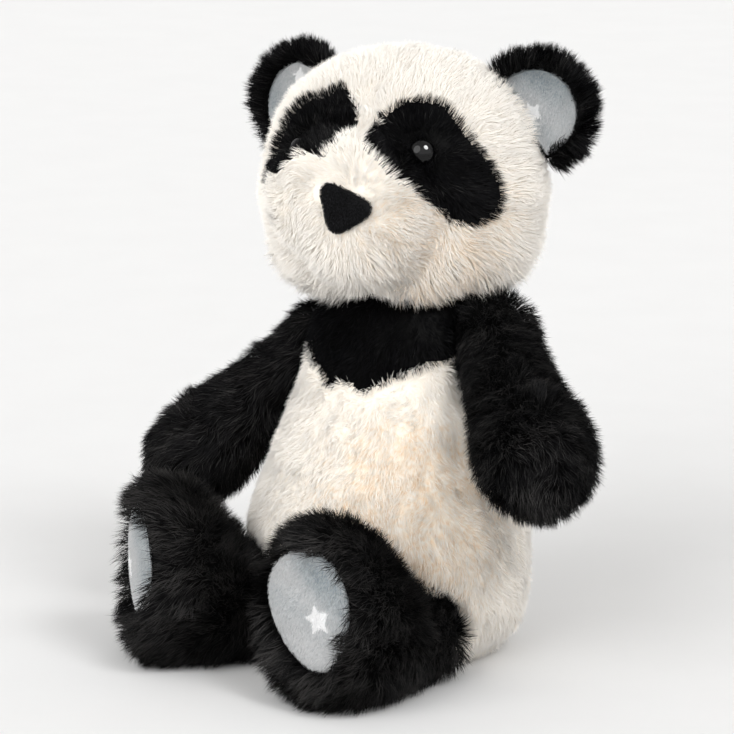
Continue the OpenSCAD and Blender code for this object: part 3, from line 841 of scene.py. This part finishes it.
# %% Head: skin and places
NEAR_TORSO, HEAD_BARE = 0.75, 0.8 * MM
EAR_BARE, FACE_BARE = 1.6 * MM, 0.6 * MM
NOSE_LEAST, NOSE_MORE, NOSE_CLEAR = 0.6, 0.4, span(0.5, 10)
MUZZLE_EDGE, PATCH_EDGE = span(0.6, 4), span(0.6, 3)
nose_tip = node_points("nose").mean(axis=0)
eye_middles = {side: node_points(f"eye_{side}").mean(axis=0) for side in SIDES}
head_left = unit(eye_middles["left"] - eye_middles["right"])
head_up = unit(UP - head_left * head_left[2])
head_front = np.cross(head_left, head_up)
head = sewn_skin(*HEAD_PANELS, "head_filling")
head_weight, head_room = room(head, *TORSO_PANELS, *ARMS, least=NEAR_TORSO, bare=HEAD_BARE)
nose_gap = gaps(head.points, node_tree("nose"))
for side in SIDES:
    head_weight = head_weight * (gaps(head.points, node_tree(f"ear_back_{side}")) > EAR_BARE)
head_weight = head_weight * (gaps(head.points, node_tree("nose", "eye_left", "eye_right")) > FACE_BARE)
head_room = head_room * (NOSE_LEAST + NOSE_MORE * ease(nose_gap, *NOSE_CLEAR))
from_nose = head.points - nose_tip
above = from_nose @ head_up
aside = from_nose @ head_left
muzzle_gap = gaps(head.points, node_tree("muzzle_panel"))
on_muzzle = 1 - ease(muzzle_gap, *MUZZLE_EDGE)
on_patch = 1 - ease(gaps(head.points, node_tree("eye_patch_left", "eye_patch_right")), *PATCH_EDGE)
print("head: reaches", round(above.max() / MM), "mm above the nose")

# %% Head: brow, crease, chin and cheeks
BROW_OUT, CHEEK_OUT, CREASE_OUT, CHIN_OUT = 11 * MM, 4 * MM, 5 * MM, 6 * MM
BROW_RISE, BROW_ASIDE, BROW_LEAST, BROW_MORE = span(-4, 12), span(5, 19), 0.25, 1.05
FLANK_RISE, FLANK_ASIDE, FLANK_SHARE = span(-24, -8), span(12, 24), 0.95
BROW_CLEAR = span(0, 20)
CREASE_HALF, CREASE_RISE, CREASE_ROUNDS = 9 * MM, span(-6, 6), 25
CHIN_HALF, CHIN_RISE, CHIN_FACING = 12 * MM, span(-30, -10), (-0.7, 0.2)
CHIN_FURRED, CHIN_FORWARD, CHIN_DOWN = 0.3, 0.6, 0.7
CHEEK_ASIDE, CHEEK_RISE = span(22, 46), span(-8, 14)
HEAD_ROUNDS = 3
brow = ease(above, *BROW_RISE) * (BROW_LEAST + BROW_MORE * ease(-aside, *BROW_ASIDE))
flank = FLANK_SHARE * ease(-aside, *FLANK_ASIDE) * ease(above, *FLANK_RISE)
brow = on_muzzle * ease(nose_gap, *BROW_CLEAR) * np.maximum(brow, flank)
beside = bell(muzzle_gap, CREASE_HALF) * (1 - ease(above, *CREASE_RISE))
crease = beside * (1 - on_muzzle)
chin = bell(muzzle_gap, CHIN_HALF) * (1 - ease(above, *CHIN_RISE))
chin = chin * ease(head.normals @ head_front, *CHIN_FACING)
head_weight = np.maximum(head_weight, chin > CHIN_FURRED)
cheek = ease(abs(aside), *CHEEK_ASIDE) * (1 - ease(above, *CHEEK_RISE)) * (1 - on_muzzle)
cheek = cheek * ease(head_room, NEAR_TORSO, 1)
head_cut = head.points
head.draw_in(-BROW_OUT * brow - CHEEK_OUT * cheek - CREASE_OUT * crease)
head.points = head.points + np.outer(CHIN_OUT * chin, CHIN_FORWARD * head_front - CHIN_DOWN * head_up)
head.smooth(HEAD_ROUNDS)
head.smooth(CREASE_ROUNDS, back=EVEN_STEP, share=beside)
moved = np.linalg.norm(head.points - head_cut, axis=1)
print("head: fuller by", round(moved.max() / MM, 1), "mm at most")

# %% [markdown]
# ## Edges of the eye patches
# A black patch ends where its pile ends, not at the seam below it, so on the toy its outline is softer and
# wider than the cut cloth. The solids keep the seam. Here each patch reaches a little past it towards the
# muzzle and outwards, and it is trimmed back above, below and along a slant at its inner corner.

# %% Edges of the eye patches
PATCH_CORNER, PATCH_TRIM, TRIM_RISE = 9 * MM, 8 * MM, span(-2, 5)
PATCH_OUTER = {"left": 5 * MM, "right": 0}
PATCH_LOW = {"left": 32 * MM, "right": 14 * MM}
PATCH_TOP = {"left": 19 * MM, "right": 25 * MM}
PATCH_SLANT = {"left": 20 * MM, "right": 30 * MM}
PATCH_OVER = {"left": 0.5, "right": 0.2}
DOME_INNER, CORNER_INNER, OUTER_RISE = span(12, 22), span(6, 20), span(8, 24)
patch_reach = {}
for side, middle in eye_middles.items():
    inner = (head_cut - middle) @ head_left * (-1 if side == "left" else 1)
    over = (head_cut - middle) @ head_up
    slant = (inner + over) / math.sqrt(2)
    past = np.max([slant - PATCH_SLANT[side], over - PATCH_TOP[side], -over - PATCH_LOW[side]], axis=0)
    trim = ease(past, *TRIM_RISE)
    on_dome = on_muzzle * (1 - PATCH_OVER[side]) * ease(inner, *DOME_INNER)
    corner = PATCH_CORNER * ((1 - on_muzzle) * ease(inner, *CORNER_INNER) + on_dome)
    outer = PATCH_OUTER[side] * ease(-inner, *OUTER_RISE)
    patch_reach[f"eye_patch_{side}"] = (corner + outer) * (1 - trim) - PATCH_TRIM * trim
    print("eye patch", side, "goes", round((corner + outer).max() / MM, 1), "mm past its seam at most")

# %% [markdown]
# ## Fur of the head
# On the real toy the pile of the face is brushed away from the nose, and that of each black patch away from
# its eye, so that black tips lie over the white. It parts below the nose and is longest at the chin. Round
# the nose it is short, or the nose would sink in it, and it stands up round the eyes and the ears, on the
# brow and under the chin.

# %% Fur of the head
PATCH_PILE, FACE_PILE, BEARD_PILE, EAR_TUFT = 6 * MM, 5.5 * MM, 11 * MM, 6 * MM
HEAD_FALL, EYE_COMB, EYE_REACH = 0.35, 2.0, span(22, 34)
PARTING_HALF, PARTING_RISE, PARTING_SHORT = 9 * MM, span(-28, -14), 0.6
EAR_REACH, NOSE_REACH, EYE_EDGE, BEARD_RISE = span(2, 9), span(1, 9), span(1, 8), span(-32, -14)
UNDER_FACING = (0.2, 0.7)
BROW_STANDS, NOSE_STANDS, EYE_STANDS, CHIN_STANDS = 0.45, 0.3, 0.8, 0.85
# The cheek's peach spot and the warmer left side are away from the key light: painted warm shade.
CHEEK_WARM_SHADE_SPOT, CHEEK_WARM_SHADE_REACH = eye_middles["left"] + head_left * 8 * MM - head_up * 38 * MM, 60 * MM
MUZZLE_WARMTH, CROWN_WARMTH, SIDE_WARM_SHADE = 0.5, 0.1, {"left": 0.6, "right": 0.15}
# The right patch, on the key light's side, takes a lighter tone than the left: painted light on its lit
# strands.
PATCH_TONE_AND_LIGHT = {"left": 0.25, "right": 0.4}
HEAD_FIBRES, HEAD_SEED = 112000, 300
away = unit(from_nose)
head_comb = unit(away - head.normals * (away * head.normals).sum(axis=1, keepdims=True)) + HEAD_FALL * DOWN
for middle in eye_middles.values():
    rays = head.points - middle
    near = (1 - ease(np.linalg.norm(rays, axis=1), *EYE_REACH)) * (1 - on_muzzle)
    head_comb = head_comb + EYE_COMB * unit(rays) * near[:, None]
parting = bell(aside, PARTING_HALF) * (1 - ease(above, *PARTING_RISE)) * on_muzzle
head_comb = head_comb + head_left * (np.sign(aside) * parting)[:, None]
by_ear = 1 - ease(gaps(head.points, node_tree("ear_lining_left", "ear_lining_right")), *EAR_REACH)
by_nose = 1 - ease(nose_gap, *NOSE_REACH)
by_eye = 1 - ease(gaps(head.points, node_tree("eye_left", "eye_right")), *EYE_EDGE)
beard = (1 - ease(above, *BEARD_RISE)) * (1 - PARTING_SHORT * parting)
under = CHIN_STANDS * beard * chin * ease(-head.normals[:, 2], *UNDER_FACING)
stands = [BROW_STANDS * brow, by_ear, NOSE_STANDS * by_nose, EYE_STANDS * by_eye, under]
head_comb = unit(head_comb) * (1 - np.max(stands, axis=0))[:, None]
head_length = FACE_PILE + (PATCH_PILE - FACE_PILE) * on_patch
head_length = head_length + (BEARD_PILE - FACE_PILE) * beard + EAR_TUFT * by_ear
grow(
    "head", head,
    {
        "muzzle_panel": cream(MUZZLE_WARMTH, CHEEK_WARM_SHADE_SPOT, CHEEK_WARM_SHADE_REACH),
        "head_gusset": cream(CROWN_WARMTH),
        "head_side_left": cream(SIDE_WARM_SHADE["left"], CHEEK_WARM_SHADE_SPOT, CHEEK_WARM_SHADE_REACH),
        "head_side_right": cream(SIDE_WARM_SHADE["right"]),
        "eye_patch_left": black(PATCH_TONE_AND_LIGHT["left"]),
        "eye_patch_right": black(PATCH_TONE_AND_LIGHT["right"]),
    },
    head_weight, HEAD_FIBRES, head_comb, head_length * head_room, HEAD_SEED, reach=patch_reach, cut=head_cut,
)

# %% [markdown]
# ## Arms and legs
# Each limb is a stuffed tube of shaggy black fabric that swells to a paw or a foot. The pile is brushed
# along the limb, and round the sole it is longer and brushed forwards, so that it stands like a mane round
# the velour. No pile grows under the sole itself, so the legs need the sole's outline: an egg that is wider
# above and leans outwards below.

# %% Arms
SIDE_STEP, LIMB_FREE = 50, 0.5
ARM_OUT = {"left": 0.5 * MM, "right": -1 * MM}
ARM_PILE, ARM_FALL, ARM_TONE = 10 * MM, 0.2, 0.55
ARM_FIBRES, ARM_SEED = 26000, 500


def long_axis(points, root):
    """The direction of a long form, away from its root."""
    axis = np.linalg.svd(points - points.mean(axis=0), full_matrices=False)[2][0]
    return axis * np.sign((points.mean(axis=0) - root) @ axis)


for place, side in enumerate(SIDES):
    node = f"arm_cover_{side}"
    root = np.array(joints[f"shoulder_swing_{side}"]["pos_m"])
    skin = sewn_skin(node, f"arm_filling_{side}")
    weight, near = room(skin, *TORSO_PANELS, *HEAD_PANELS)
    skin.draw_in(-ARM_OUT[side] * ease(near, LIMB_FREE, 1))
    axis = long_axis(skin.points, root)
    comb = np.broadcast_to(unit(axis + ARM_FALL * DOWN), skin.points.shape)
    grow(
        f"arm_{side}", skin, {node: black(ARM_TONE, SHAG_PILE)},
        weight, ARM_FIBRES, comb, near * ARM_PILE, ARM_SEED + SIDE_STEP * place,
    )

# %% Outline of the soles
SOLE_TILT, SOLE_TAPER = 14, 0.18


def thin_way(points):
    """The direction in which a flat form is thin."""
    return np.linalg.svd(points - points.mean(axis=0), full_matrices=False)[2][2]


def sole_frame(side):
    """The middle of a sole, its two directions and its front, and its half sizes."""
    corners = node_points(f"sole_pad_{side}")
    front = thin_way(corners)
    front = front * np.sign((corners.mean(axis=0) - np.array(joints[f"hip_swing_{side}"]["pos_m"])) @ front)
    up = unit(UP - front * front[2])
    axes = (np.cross(up, front), up, front)
    spread = corners @ np.stack(axes).T
    low, high = spread.min(axis=0), spread.max(axis=0)
    return (low + high) / 2 @ np.stack(axes), axes, (high - low) / 2


def sole_edge(side, half):
    """The outline of a sole: an oval that is wider above and leans outwards below."""
    lean = math.radians(SOLE_TILT if side == "left" else -SOLE_TILT)

    def outline(turn):
        wide = half[0] * (1 + SOLE_TAPER * np.sin(turn - lean))
        return 1 / np.sqrt((np.cos(turn - lean) / wide) ** 2 + (np.sin(turn - lean) / half[1]) ** 2)
    return outline


for side in SIDES:
    print("sole", side, "is", np.round(2 * sole_frame(side)[2] / MM, 1), "mm wide, high and thick")

# %% Legs
LEG_OUT, FOOT_OUT, OFF_FLOOR, OFF_SOLE = 3 * MM, 1.5 * MM, span(1, 12), span(0.5, 6)
# The legs take a lighter black than the arms: painted light that brightens legs the key light leaves in
# shade, and painted strand highlights.
LEG_PILE, MANE_PILE, LEG_FALL, LEG_LIT_TONE = 11 * MM, 12.5 * MM, 0.1, 0.7
MANE_FROM, MANE_FULL, MANE_SPLAY = 0.55, 0.95, 0.3
SOLE_MARGIN, HEEL_BACK = 0.5 * MM, 8 * MM
LEG_FIBRES, LEG_SEED = 29000, 700
LEVEL = np.array([1, 1, 0])

for place, side in enumerate(SIDES):
    node = f"leg_cover_{side}"
    root = np.array(joints[f"hip_swing_{side}"]["pos_m"])
    skin = sewn_skin(node, f"leg_filling_{side}")
    weight, near = room(skin, *TORSO_PANELS)
    sole_gap = gaps(skin.points, node_tree(f"sole_pad_{side}"))
    sole_middle, axes, half = sole_frame(side)
    plan = (skin.points - sole_middle) @ np.stack(axes).T
    edge = sole_edge(side, half)(np.arctan2(plan[:, 1], plan[:, 0]))
    past_sole = np.linalg.norm(plan[:, :2], axis=1) > edge + SOLE_MARGIN
    weight = weight * (past_sole | (plan[:, 2] < -HEEL_BACK))
    axis = unit(unit(sole_middle - root) * LEVEL)
    along = (skin.points - root) @ axis
    radial = skin.points - sole_middle
    radial = unit(radial - axis * (radial @ axis)[:, None])
    mane = ease(along, MANE_FROM * along.max(), MANE_FULL * along.max())[:, None]
    comb = unit(axis + radial * MANE_SPLAY * mane + LEG_FALL * DOWN)
    foot_out = FOOT_OUT * mane[:, 0] + LEG_OUT * (1 - mane[:, 0]) * ease(near, LIMB_FREE, 1)
    off_floor = ease(skin.points[:, 2], *OFF_FLOOR)
    skin.draw_in(-foot_out * ease(sole_gap, *OFF_SOLE) * off_floor)
    length = near * (LEG_PILE + (MANE_PILE - LEG_PILE) * mane[:, 0])
    grow(
        f"leg_{side}", skin, {node: black(LEG_LIT_TONE, SHAG_PILE)},
        weight, LEG_FIBRES, comb, length, LEG_SEED + SIDE_STEP * place,
    )

# %% [markdown]
# ## Lens-shaped pieces
# The ears, their linings and the sole pads are all flat cloth forms: an outline, filled a little, with a
# rim where front and back are sewn together. Each could be a squashed ball, but then its rim would be
# round. One function lays a grid over an outline, lifts its front and its back by a rule, and joins both
# at the rim. The star that is printed on the velour is a rule as well: fibres inside it are white.

# %% Lens-shaped pieces
LENS_STEPS = 37


def lens(middle, axes, outline, front, back):
    """A closed skin over an outline. axes are its two directions and its front.

    front and back give the heights of its two sides by the reach, from 0 in the middle to 1 at the rim."""
    u, v = np.meshgrid(*2 * [np.linspace(-1, 1, LENS_STEPS)], indexing="ij")
    flat = np.stack([u * np.sqrt(1 - v * v / 2), v * np.sqrt(1 - u * u / 2)], axis=-1).reshape(-1, 2)
    rim = np.maximum(abs(u), abs(v)).ravel() == 1
    place = np.arange(LENS_STEPS ** 2).reshape(LENS_STEPS, LENS_STEPS)
    quads = np.stack([place[:-1, :-1], place[1:, :-1], place[1:, 1:], place[:-1, 1:]], axis=-1).reshape(-1, 4)
    reach = np.linalg.norm(flat, axis=1)
    plan = flat * outline(np.arctan2(flat[:, 1], flat[:, 0]))[:, None]
    top = np.column_stack([plan, front(reach)])
    low = np.column_stack([plan, back(reach)])[~rim]
    under = np.arange(len(flat))
    under[~rim] = len(flat) + np.arange(len(low))
    points = middle + np.concatenate([top, low]) @ np.stack(axes)
    return Skin(points, np.concatenate([quads, under[quads][:, ::-1]]))


print("lens: a grid of", LENS_STEPS, "by", LENS_STEPS, "points on each side")

# %% Velour and its printed star
STAR_STEP, STAR_WAIST, STAR_TONE = 36, 0.52, 0.98
NAP_TONE, NAP_RANGE, NAP_CHANCE = 0.48, (0.02, 0.7), 0.1
# The nap is darker towards one corner: painted shade where it faces away from the light beside the fur.
NAP_SHADE_DEPTH, NAP_SHADE_RISE = 0.3, span(4, 24)
NAP_SIZE, NAP_SEED, NAP_SHARE = 12 * MM, 74, 0.08
NAP_FACING = -0.2
VELOUR_PILE = Pile(lean=58, bend=8, mess=0.25, stray=0.12, lock=5, gather=0.1, droop=0, width=0.24 * MM)


def in_star(plan, middle, radius, turn):
    """Which places of a plan are inside a five-pointed star."""
    aside = plan - np.array(middle)
    step = math.radians(STAR_STEP)
    angle = np.arctan2(aside[:, 1], aside[:, 0]) - math.radians(turn)
    angle = step - abs(np.mod(angle, 2 * step) - step)
    waist = STAR_WAIST * radius
    edge = radius * waist * math.sin(step) / (waist * np.sin(step - angle) + radius * np.sin(angle))
    return np.linalg.norm(aside, axis=1) < edge


def velour_shade(origin, axes, star_middle, star_radius, star_turn):
    """Grey nap in soft blotches, darker towards one corner as painted shade where the nap faces away beside
    the fur, and white inside the star.
    """
    def shade(roots, rng):
        plan = (roots - origin) @ np.stack(axes[:2]).T
        # Painted shade: the nap darkens towards one corner of the plan.
        nap_shade = NAP_SHADE_DEPTH * ease(plan.sum(axis=1), *NAP_SHADE_RISE)
        nap = NAP_TONE - nap_shade + NAP_SHARE * drift(roots, NAP_SIZE, NAP_SEED)[:, 0]
        nap = np.clip(nap + rng.normal(0, NAP_CHANCE, len(roots)), *NAP_RANGE)
        return np.where(in_star(plan, star_middle, star_radius, star_turn), STAR_TONE, nap)
    return shade


def velour_piece(body, node, skin, front, shade, nap, count, seed):
    """Covers a flat closed piece with a short nap, brushed down, on the side that shows."""
    weight = (skin.normals @ front > NAP_FACING).astype(float)
    comb = np.broadcast_to(DOWN, skin.points.shape)
    length = np.full(len(skin.points), nap)
    panels = {node: (VELOUR, "grey_velour", VELOUR_PILE, shade)}
    grow(body, skin, panels, weight, count, comb, length, seed, depth=None)


print("star:", 180 // STAR_STEP, "points")

# %% [markdown]
# ## Ears
# Each ear is a cupped disc, black fur behind and grey velour in front, sewn into the head along a chord
# so that it can be folded. The long pile of the back sticks out past the rim like a fringe. Its place could
# be typed in, but the root and the fold line come from the ear's joint and the radius from the solid, so
# that the ear folds where it is sewn.

# %% Ears
EAR_SINK = {"left": 2 * MM, "right": 5 * MM}
EAR_LOWER = {"left": 3 * MM, "right": -2 * MM}
EAR_CUP, CUP_LEVEL, EAR_DEPTH, EAR_ROOT = 4 * MM, 0.6, 4 * MM, -2.5 * MM
EAR_PILE, EAR_FRINGE, FRINGE_RISE = 8 * MM, 11.5 * MM, (0.6, 0.95)
EAR_BACK_FACING, EAR_RIM, CHORD_MARGIN = 0.25, 0.94, 1 * MM
RIM_MORE, RIM_RISE, EAR_OUTWARDS = 1.6, (0.7, 0.95), 0.5
EAR_TONE, EAR_FILL, EAR_FIBRES, EAR_SEED = 0.4, 0.4, 9500, 900
LINING_IN, LINING_PUFF, LINING_LOW, LINING_HIGH = 2 * MM, 1.1 * MM, 0.2 * MM, 0.3 * MM
LINING_NAP, LINING_FIBRES, LINING_SEED = 1.5 * MM, 6500, 1000
EAR_STAR = {"left": (-0.5 * MM, 1 * MM), "right": (8 * MM, -9 * MM)}
EAR_STAR_RADIUS, EAR_STAR_TURN = 5 * MM, 10
RIM_PILE = Pile(lean=34, bend=10, mess=0.3, stray=0.12, lock=14, gather=0.5, droop=0, width=0.3 * MM)
ALMOST_NONE = 1e-6


def chord_disc(radius, inside, least):
    """An outline: a disc that is cut straight at a distance from its middle."""
    def outline(turn):
        away = np.maximum(-np.cos(turn), ALMOST_NONE)
        return np.minimum(radius, (inside - least) / away)
    return outline


for place, side in enumerate(SIDES):
    hinge = joints[f"ear_fold_{side}"]
    root = np.array(hinge["pos_m"])
    fold = unit(np.array(hinge["axis"]))
    back_points = node_points(f"ear_back_{side}") - root
    lining_points = node_points(f"ear_lining_{side}") - root
    out = back_points.mean(axis=0)
    out = unit(out - fold * (out @ fold))
    front = np.cross(out, fold)
    if front @ (lining_points.mean(axis=0) - back_points.mean(axis=0)) < 0:
        front, fold = -front, -fold
    axes = (out, fold, front)
    radius = abs(back_points @ fold).max()
    inside = (back_points @ out).max() - radius - EAR_SINK[side]
    level = (lining_points @ front).min()
    middle = root + out * inside - fold * np.sign(fold[2]) * EAR_LOWER[side]

    def cup(reach, level=level):
        return level + EAR_CUP * (reach ** 2 - CUP_LEVEL)

    shell = lens(
        middle, axes, chord_disc(radius, inside, EAR_ROOT),
        cup, lambda reach: cup(reach) - EAR_DEPTH * np.sqrt(np.maximum(1 - reach ** 4, 0)),
    )
    plan = (shell.points - middle) @ np.stack(axes).T
    from_middle = np.linalg.norm(plan[:, :2], axis=1) / radius
    behind = (shell.normals @ front < EAR_BACK_FACING) | (from_middle > EAR_RIM)
    weight = behind * (1 + RIM_MORE * ease(from_middle, *RIM_RISE)) * (plan[:, 0] > -CHORD_MARGIN - inside)
    radial = unit(plan[:, :1] * out + plan[:, 1:2] * fold)
    comb = radial * from_middle[:, None] + EAR_OUTWARDS * out
    length = EAR_PILE + (EAR_FRINGE - EAR_PILE) * ease(from_middle, *FRINGE_RISE)
    grow(
        f"ear_{side}", shell, {f"ear_back_{side}": black(EAR_TONE, RIM_PILE)},
        weight, EAR_FIBRES, comb, length, EAR_SEED + SIDE_STEP * place, depth=None,
    )
    share = (radius - LINING_IN) / radius
    lining = lens(
        middle, axes, chord_disc(radius - LINING_IN, inside, EAR_ROOT + LINING_IN),
        lambda reach: cup(reach * share) + LINING_HIGH + LINING_PUFF * (1 - reach ** 4),
        lambda reach: cup(reach * share) + LINING_LOW,
    )
    velour_piece(
        f"ear_{side}", f"ear_lining_{side}", lining, front,
        velour_shade(middle, axes, EAR_STAR[side], EAR_STAR_RADIUS, EAR_STAR_TURN),
        LINING_NAP, LINING_FIBRES, LINING_SEED + SIDE_STEP * place,
    )

# %% [markdown]
# ## Soles
# Each sole is a leaning egg of the same velour, which the stuffing of the foot pushes out to a low dome. It
# fills the outline that the fur of the leg leaves bare. A single white star is printed near its middle.

# %% Soles
SOLE_DOME = 2.2 * MM
SOLE_STAR, SOLE_STAR_RADIUS, SOLE_STAR_TURN = (7 * MM, -1 * MM), 7 * MM, 106
SOLE_NAP, SOLE_FILL, SOLE_FIBRES, SOLE_SEED = 1.6 * MM, 0.5, 10000, 1100

for place, side in enumerate(SIDES):
    middle, axes, half = sole_frame(side)
    pad = lens(
        middle, axes, sole_edge(side, half),
        lambda reach: half[2] * (1 - reach ** 6) + SOLE_DOME * (1 - reach ** 2),
        lambda reach: -half[2] * (1 - reach ** 6),
    )
    star = (SOLE_STAR[0] if side == "left" else -SOLE_STAR[0], SOLE_STAR[1])
    velour_piece(
        f"leg_{side}", f"sole_pad_{side}", pad, axes[2],
        velour_shade(middle, axes, star, SOLE_STAR_RADIUS, SOLE_STAR_TURN),
        SOLE_NAP, SOLE_FIBRES, SOLE_SEED + SIDE_STEP * place,
    )

# %% [markdown]
# ## Eyes
# The safety eyes are black domes of polished plastic, each on a stem that a washer holds inside the head.
# They are turned forms. A squashed ball could stand for the dome, but a profile that is swung round the
# stem's line also gives the lip and the flat back. The sizes are measured on the solid.

# %% Eyes
EYE_TURNS, EYE_STEPS, EYE_LIP = 48, 12, 0.5 * MM
EYE_RIM, EYE_BACK, STEM_END = 0.9, 0.94, 0.1 * MM
ASLANT = [0.3, 0.5, 0.8]


def turned(name, profile, middle, axis):
    """A closed form of revolution. The profile holds radius and height, with a pole at each end."""
    across = unit(np.cross(axis, ASLANT))
    over = np.cross(axis, across)
    angles = np.linspace(0, 2 * math.pi, EYE_TURNS, endpoint=False)
    rings = [
        middle + axis * height + radius * (np.outer(np.cos(angles), across) + np.outer(np.sin(angles), over))
        for radius, height in profile[1:-1]
    ]
    poles = [middle + axis * profile[i][1] for i in (0, -1)]
    here = np.arange(EYE_TURNS)
    after = (here + 1) % EYE_TURNS
    quads = np.concatenate([
        np.stack([here, after, after + EYE_TURNS, here + EYE_TURNS], axis=1) + i * EYE_TURNS
        for i in range(len(rings) - 1)
    ])
    last = (len(rings) - 1) * EYE_TURNS
    foot, head_pole = len(rings) * EYE_TURNS, len(rings) * EYE_TURNS + 1
    triangles = np.concatenate([
        np.stack([after, here, np.full(EYE_TURNS, foot)], axis=1),
        np.stack([here + last, after + last, np.full(EYE_TURNS, head_pole)], axis=1),
    ])
    return solid(name, np.concatenate(rings + [np.array(poles)]), quads, triangles)


for side in SIDES:
    washer = node_points(f"eye_washer_{side}")
    middle = washer.mean(axis=0)
    shape = node_points(f"eye_{side}") - middle
    axis = thin_way(washer)
    axis = axis * np.sign(shape.mean(axis=0) @ axis)
    heights = shape @ axis
    radii = np.linalg.norm(shape - np.outer(heights, axis), axis=1)
    wide, top, foot = radii.max(), heights.max(), heights.min()
    base = heights[radii > EYE_RIM * wide].min()
    stem = radii[heights < foot + STEM_END].max()
    dome = [
        (wide * math.cos(t), base + EYE_LIP + (top - base - EYE_LIP) * math.sin(t))
        for t in np.linspace(0, math.pi / 2, EYE_STEPS)[:-1]
    ]
    profile = [(0, foot), (stem, foot), (stem, base), (EYE_BACK * wide, base)] + dome + [(0, top)]
    finish_piece(
        turned(f"eye_dome_{side}", profile, middle, axis), EYE, "head", f"eye_{side}", "eye_plastic"
    )
    print("eye", side, "is", round(wide / MM * 2, 1), "mm across")

# %% [markdown]
# ## Nose
# The nose is a flat rounded triangle of black fleece, which the solid already shows. It is remeshed finely,
# smoothed until its corners are soft, brought back to its size, and swung a little round, because it was
# sewn on slightly askew. A short nap makes it dull beside the eyes.

# %% Nose
NOSE_CELL, NOSE_ROUNDS = 0.7 * MM, 20
NOSE_SWING, NOSE_SHIFT = math.radians(12), 1.3 * MM
NOSE_NAP, NOSE_TONE, NOSE_FILL, NOSE_FIBRES, NOSE_SEED = 1.4 * MM, 0.6, 0.6, 5000, 1300
NOSE_PILE = Pile(lean=40, bend=25, mess=0.8, stray=0.25, lock=8, gather=0.35, droop=0, width=0.22 * MM)
nose = Skin(*remeshed(["nose"], NOSE_CELL))
size_before = np.linalg.norm(nose.points - nose_tip, axis=1).max()
nose.smooth(NOSE_ROUNDS, back=EVEN_STEP)
lever = nose.points - nose_tip
lever = lever * size_before / np.linalg.norm(lever, axis=1).max()
nose_axis = -head_front
nose_place = nose_tip + head_left * NOSE_SHIFT - head_up * NOSE_SHIFT
along_axis = np.outer(lever @ nose_axis, nose_axis * (1 - math.cos(NOSE_SWING)))
nose.points = nose_place + lever * math.cos(NOSE_SWING) + np.cross(nose_axis, lever) * math.sin(NOSE_SWING)
nose.points = nose.points + along_axis
nose.aim()
print("nose:", round(2 * size_before / MM, 1), "mm across at most")
grow(
    "head", nose, {"nose": (FLEECE, "black_velour", NOSE_PILE, black_shade(NOSE_TONE))},
    np.ones(len(nose.points)), NOSE_FIBRES, np.broadcast_to(DOWN, nose.points.shape),
    np.full(len(nose.points), NOSE_NAP), NOSE_SEED, depth=None,
)

# %% [markdown]
# ## Stuffing
# Inside the covers is polyester wadding, and a small bag of pellets in the seat weighs the toy down. They
# only show when a cover is lifted, but they are real pieces. Each is remeshed from its solid, and drawn in
# by an uneven depth, so that it is lumpy and never shows through the cover.

# %% Stuffing
# Each piece's body, the size of its faces in millimetres, and how tightly it is filled.
STUFFING = {
    "body_filling": ("torso", 3.0, 0.8),
    "head_filling": ("head", 3.0, 0.85),
    "arm_filling_left": ("arm_left", 2.5, 0.7),
    "arm_filling_right": ("arm_right", 2.5, 0.7),
    "leg_filling_left": ("leg_left", 2.5, 0.7),
    "leg_filling_right": ("leg_right", 2.5, 0.7),
}
STUFFING_ROUNDS, STUFFING_IN, STUFFING_LUMP = 4, 1.2, 0.6
WADDING_LUMP, WADDING_SEED = 11, 1400
PELLET_CELL, PELLET_LUMP, PELLET_FILL, PELLET_SEED = 2.0, 5, 0.6, 1450


def stuffed(node, body, finish, slot, cell, lump, seed):
    """A soft inner piece in the space of its solid."""
    skin = Skin(*remeshed([node], cell * MM))
    skin.smooth(STUFFING_ROUNDS)
    lumps = np.clip(drift(skin.points, lump * MM, seed)[:, 0], -1, 1)
    skin.draw_in((STUFFING_IN + STUFFING_LUMP * lumps) * MM)
    obj = solid(node.replace("filling", "wadding") + "_soft", skin.points, skin.quads, NO_TRIANGLES)
    finish_piece(obj, finish, body, node, slot)
    print(obj.name, "has", len(skin.quads), "faces")


for place, (node, (body, cell, fill)) in enumerate(STUFFING.items()):
    stuffed(node, body, WADDING, "stuffing", cell, WADDING_LUMP, WADDING_SEED + place)
stuffed("pellet_bag", "torso", BAG, "pellets", PELLET_CELL, PELLET_LUMP, PELLET_SEED)

# %% [markdown]
# ## Threads and washers
# The gathered seams at the neck, the shoulders and the hips, and the washers behind the eyes, already have
# their real shape in the frame. They could be modelled again, but they only need a finish.

# %% Threads and washers
OWN_FINISHES = {"_seam": CORD, "washer": WASHER}
for name, node in nodes.items():
    for word, finish in OWN_FINISHES.items():
        if word in name:
            for own_slot in node.material_slots:
                own_slot.material = finish
            print(name, "takes", finish.name)
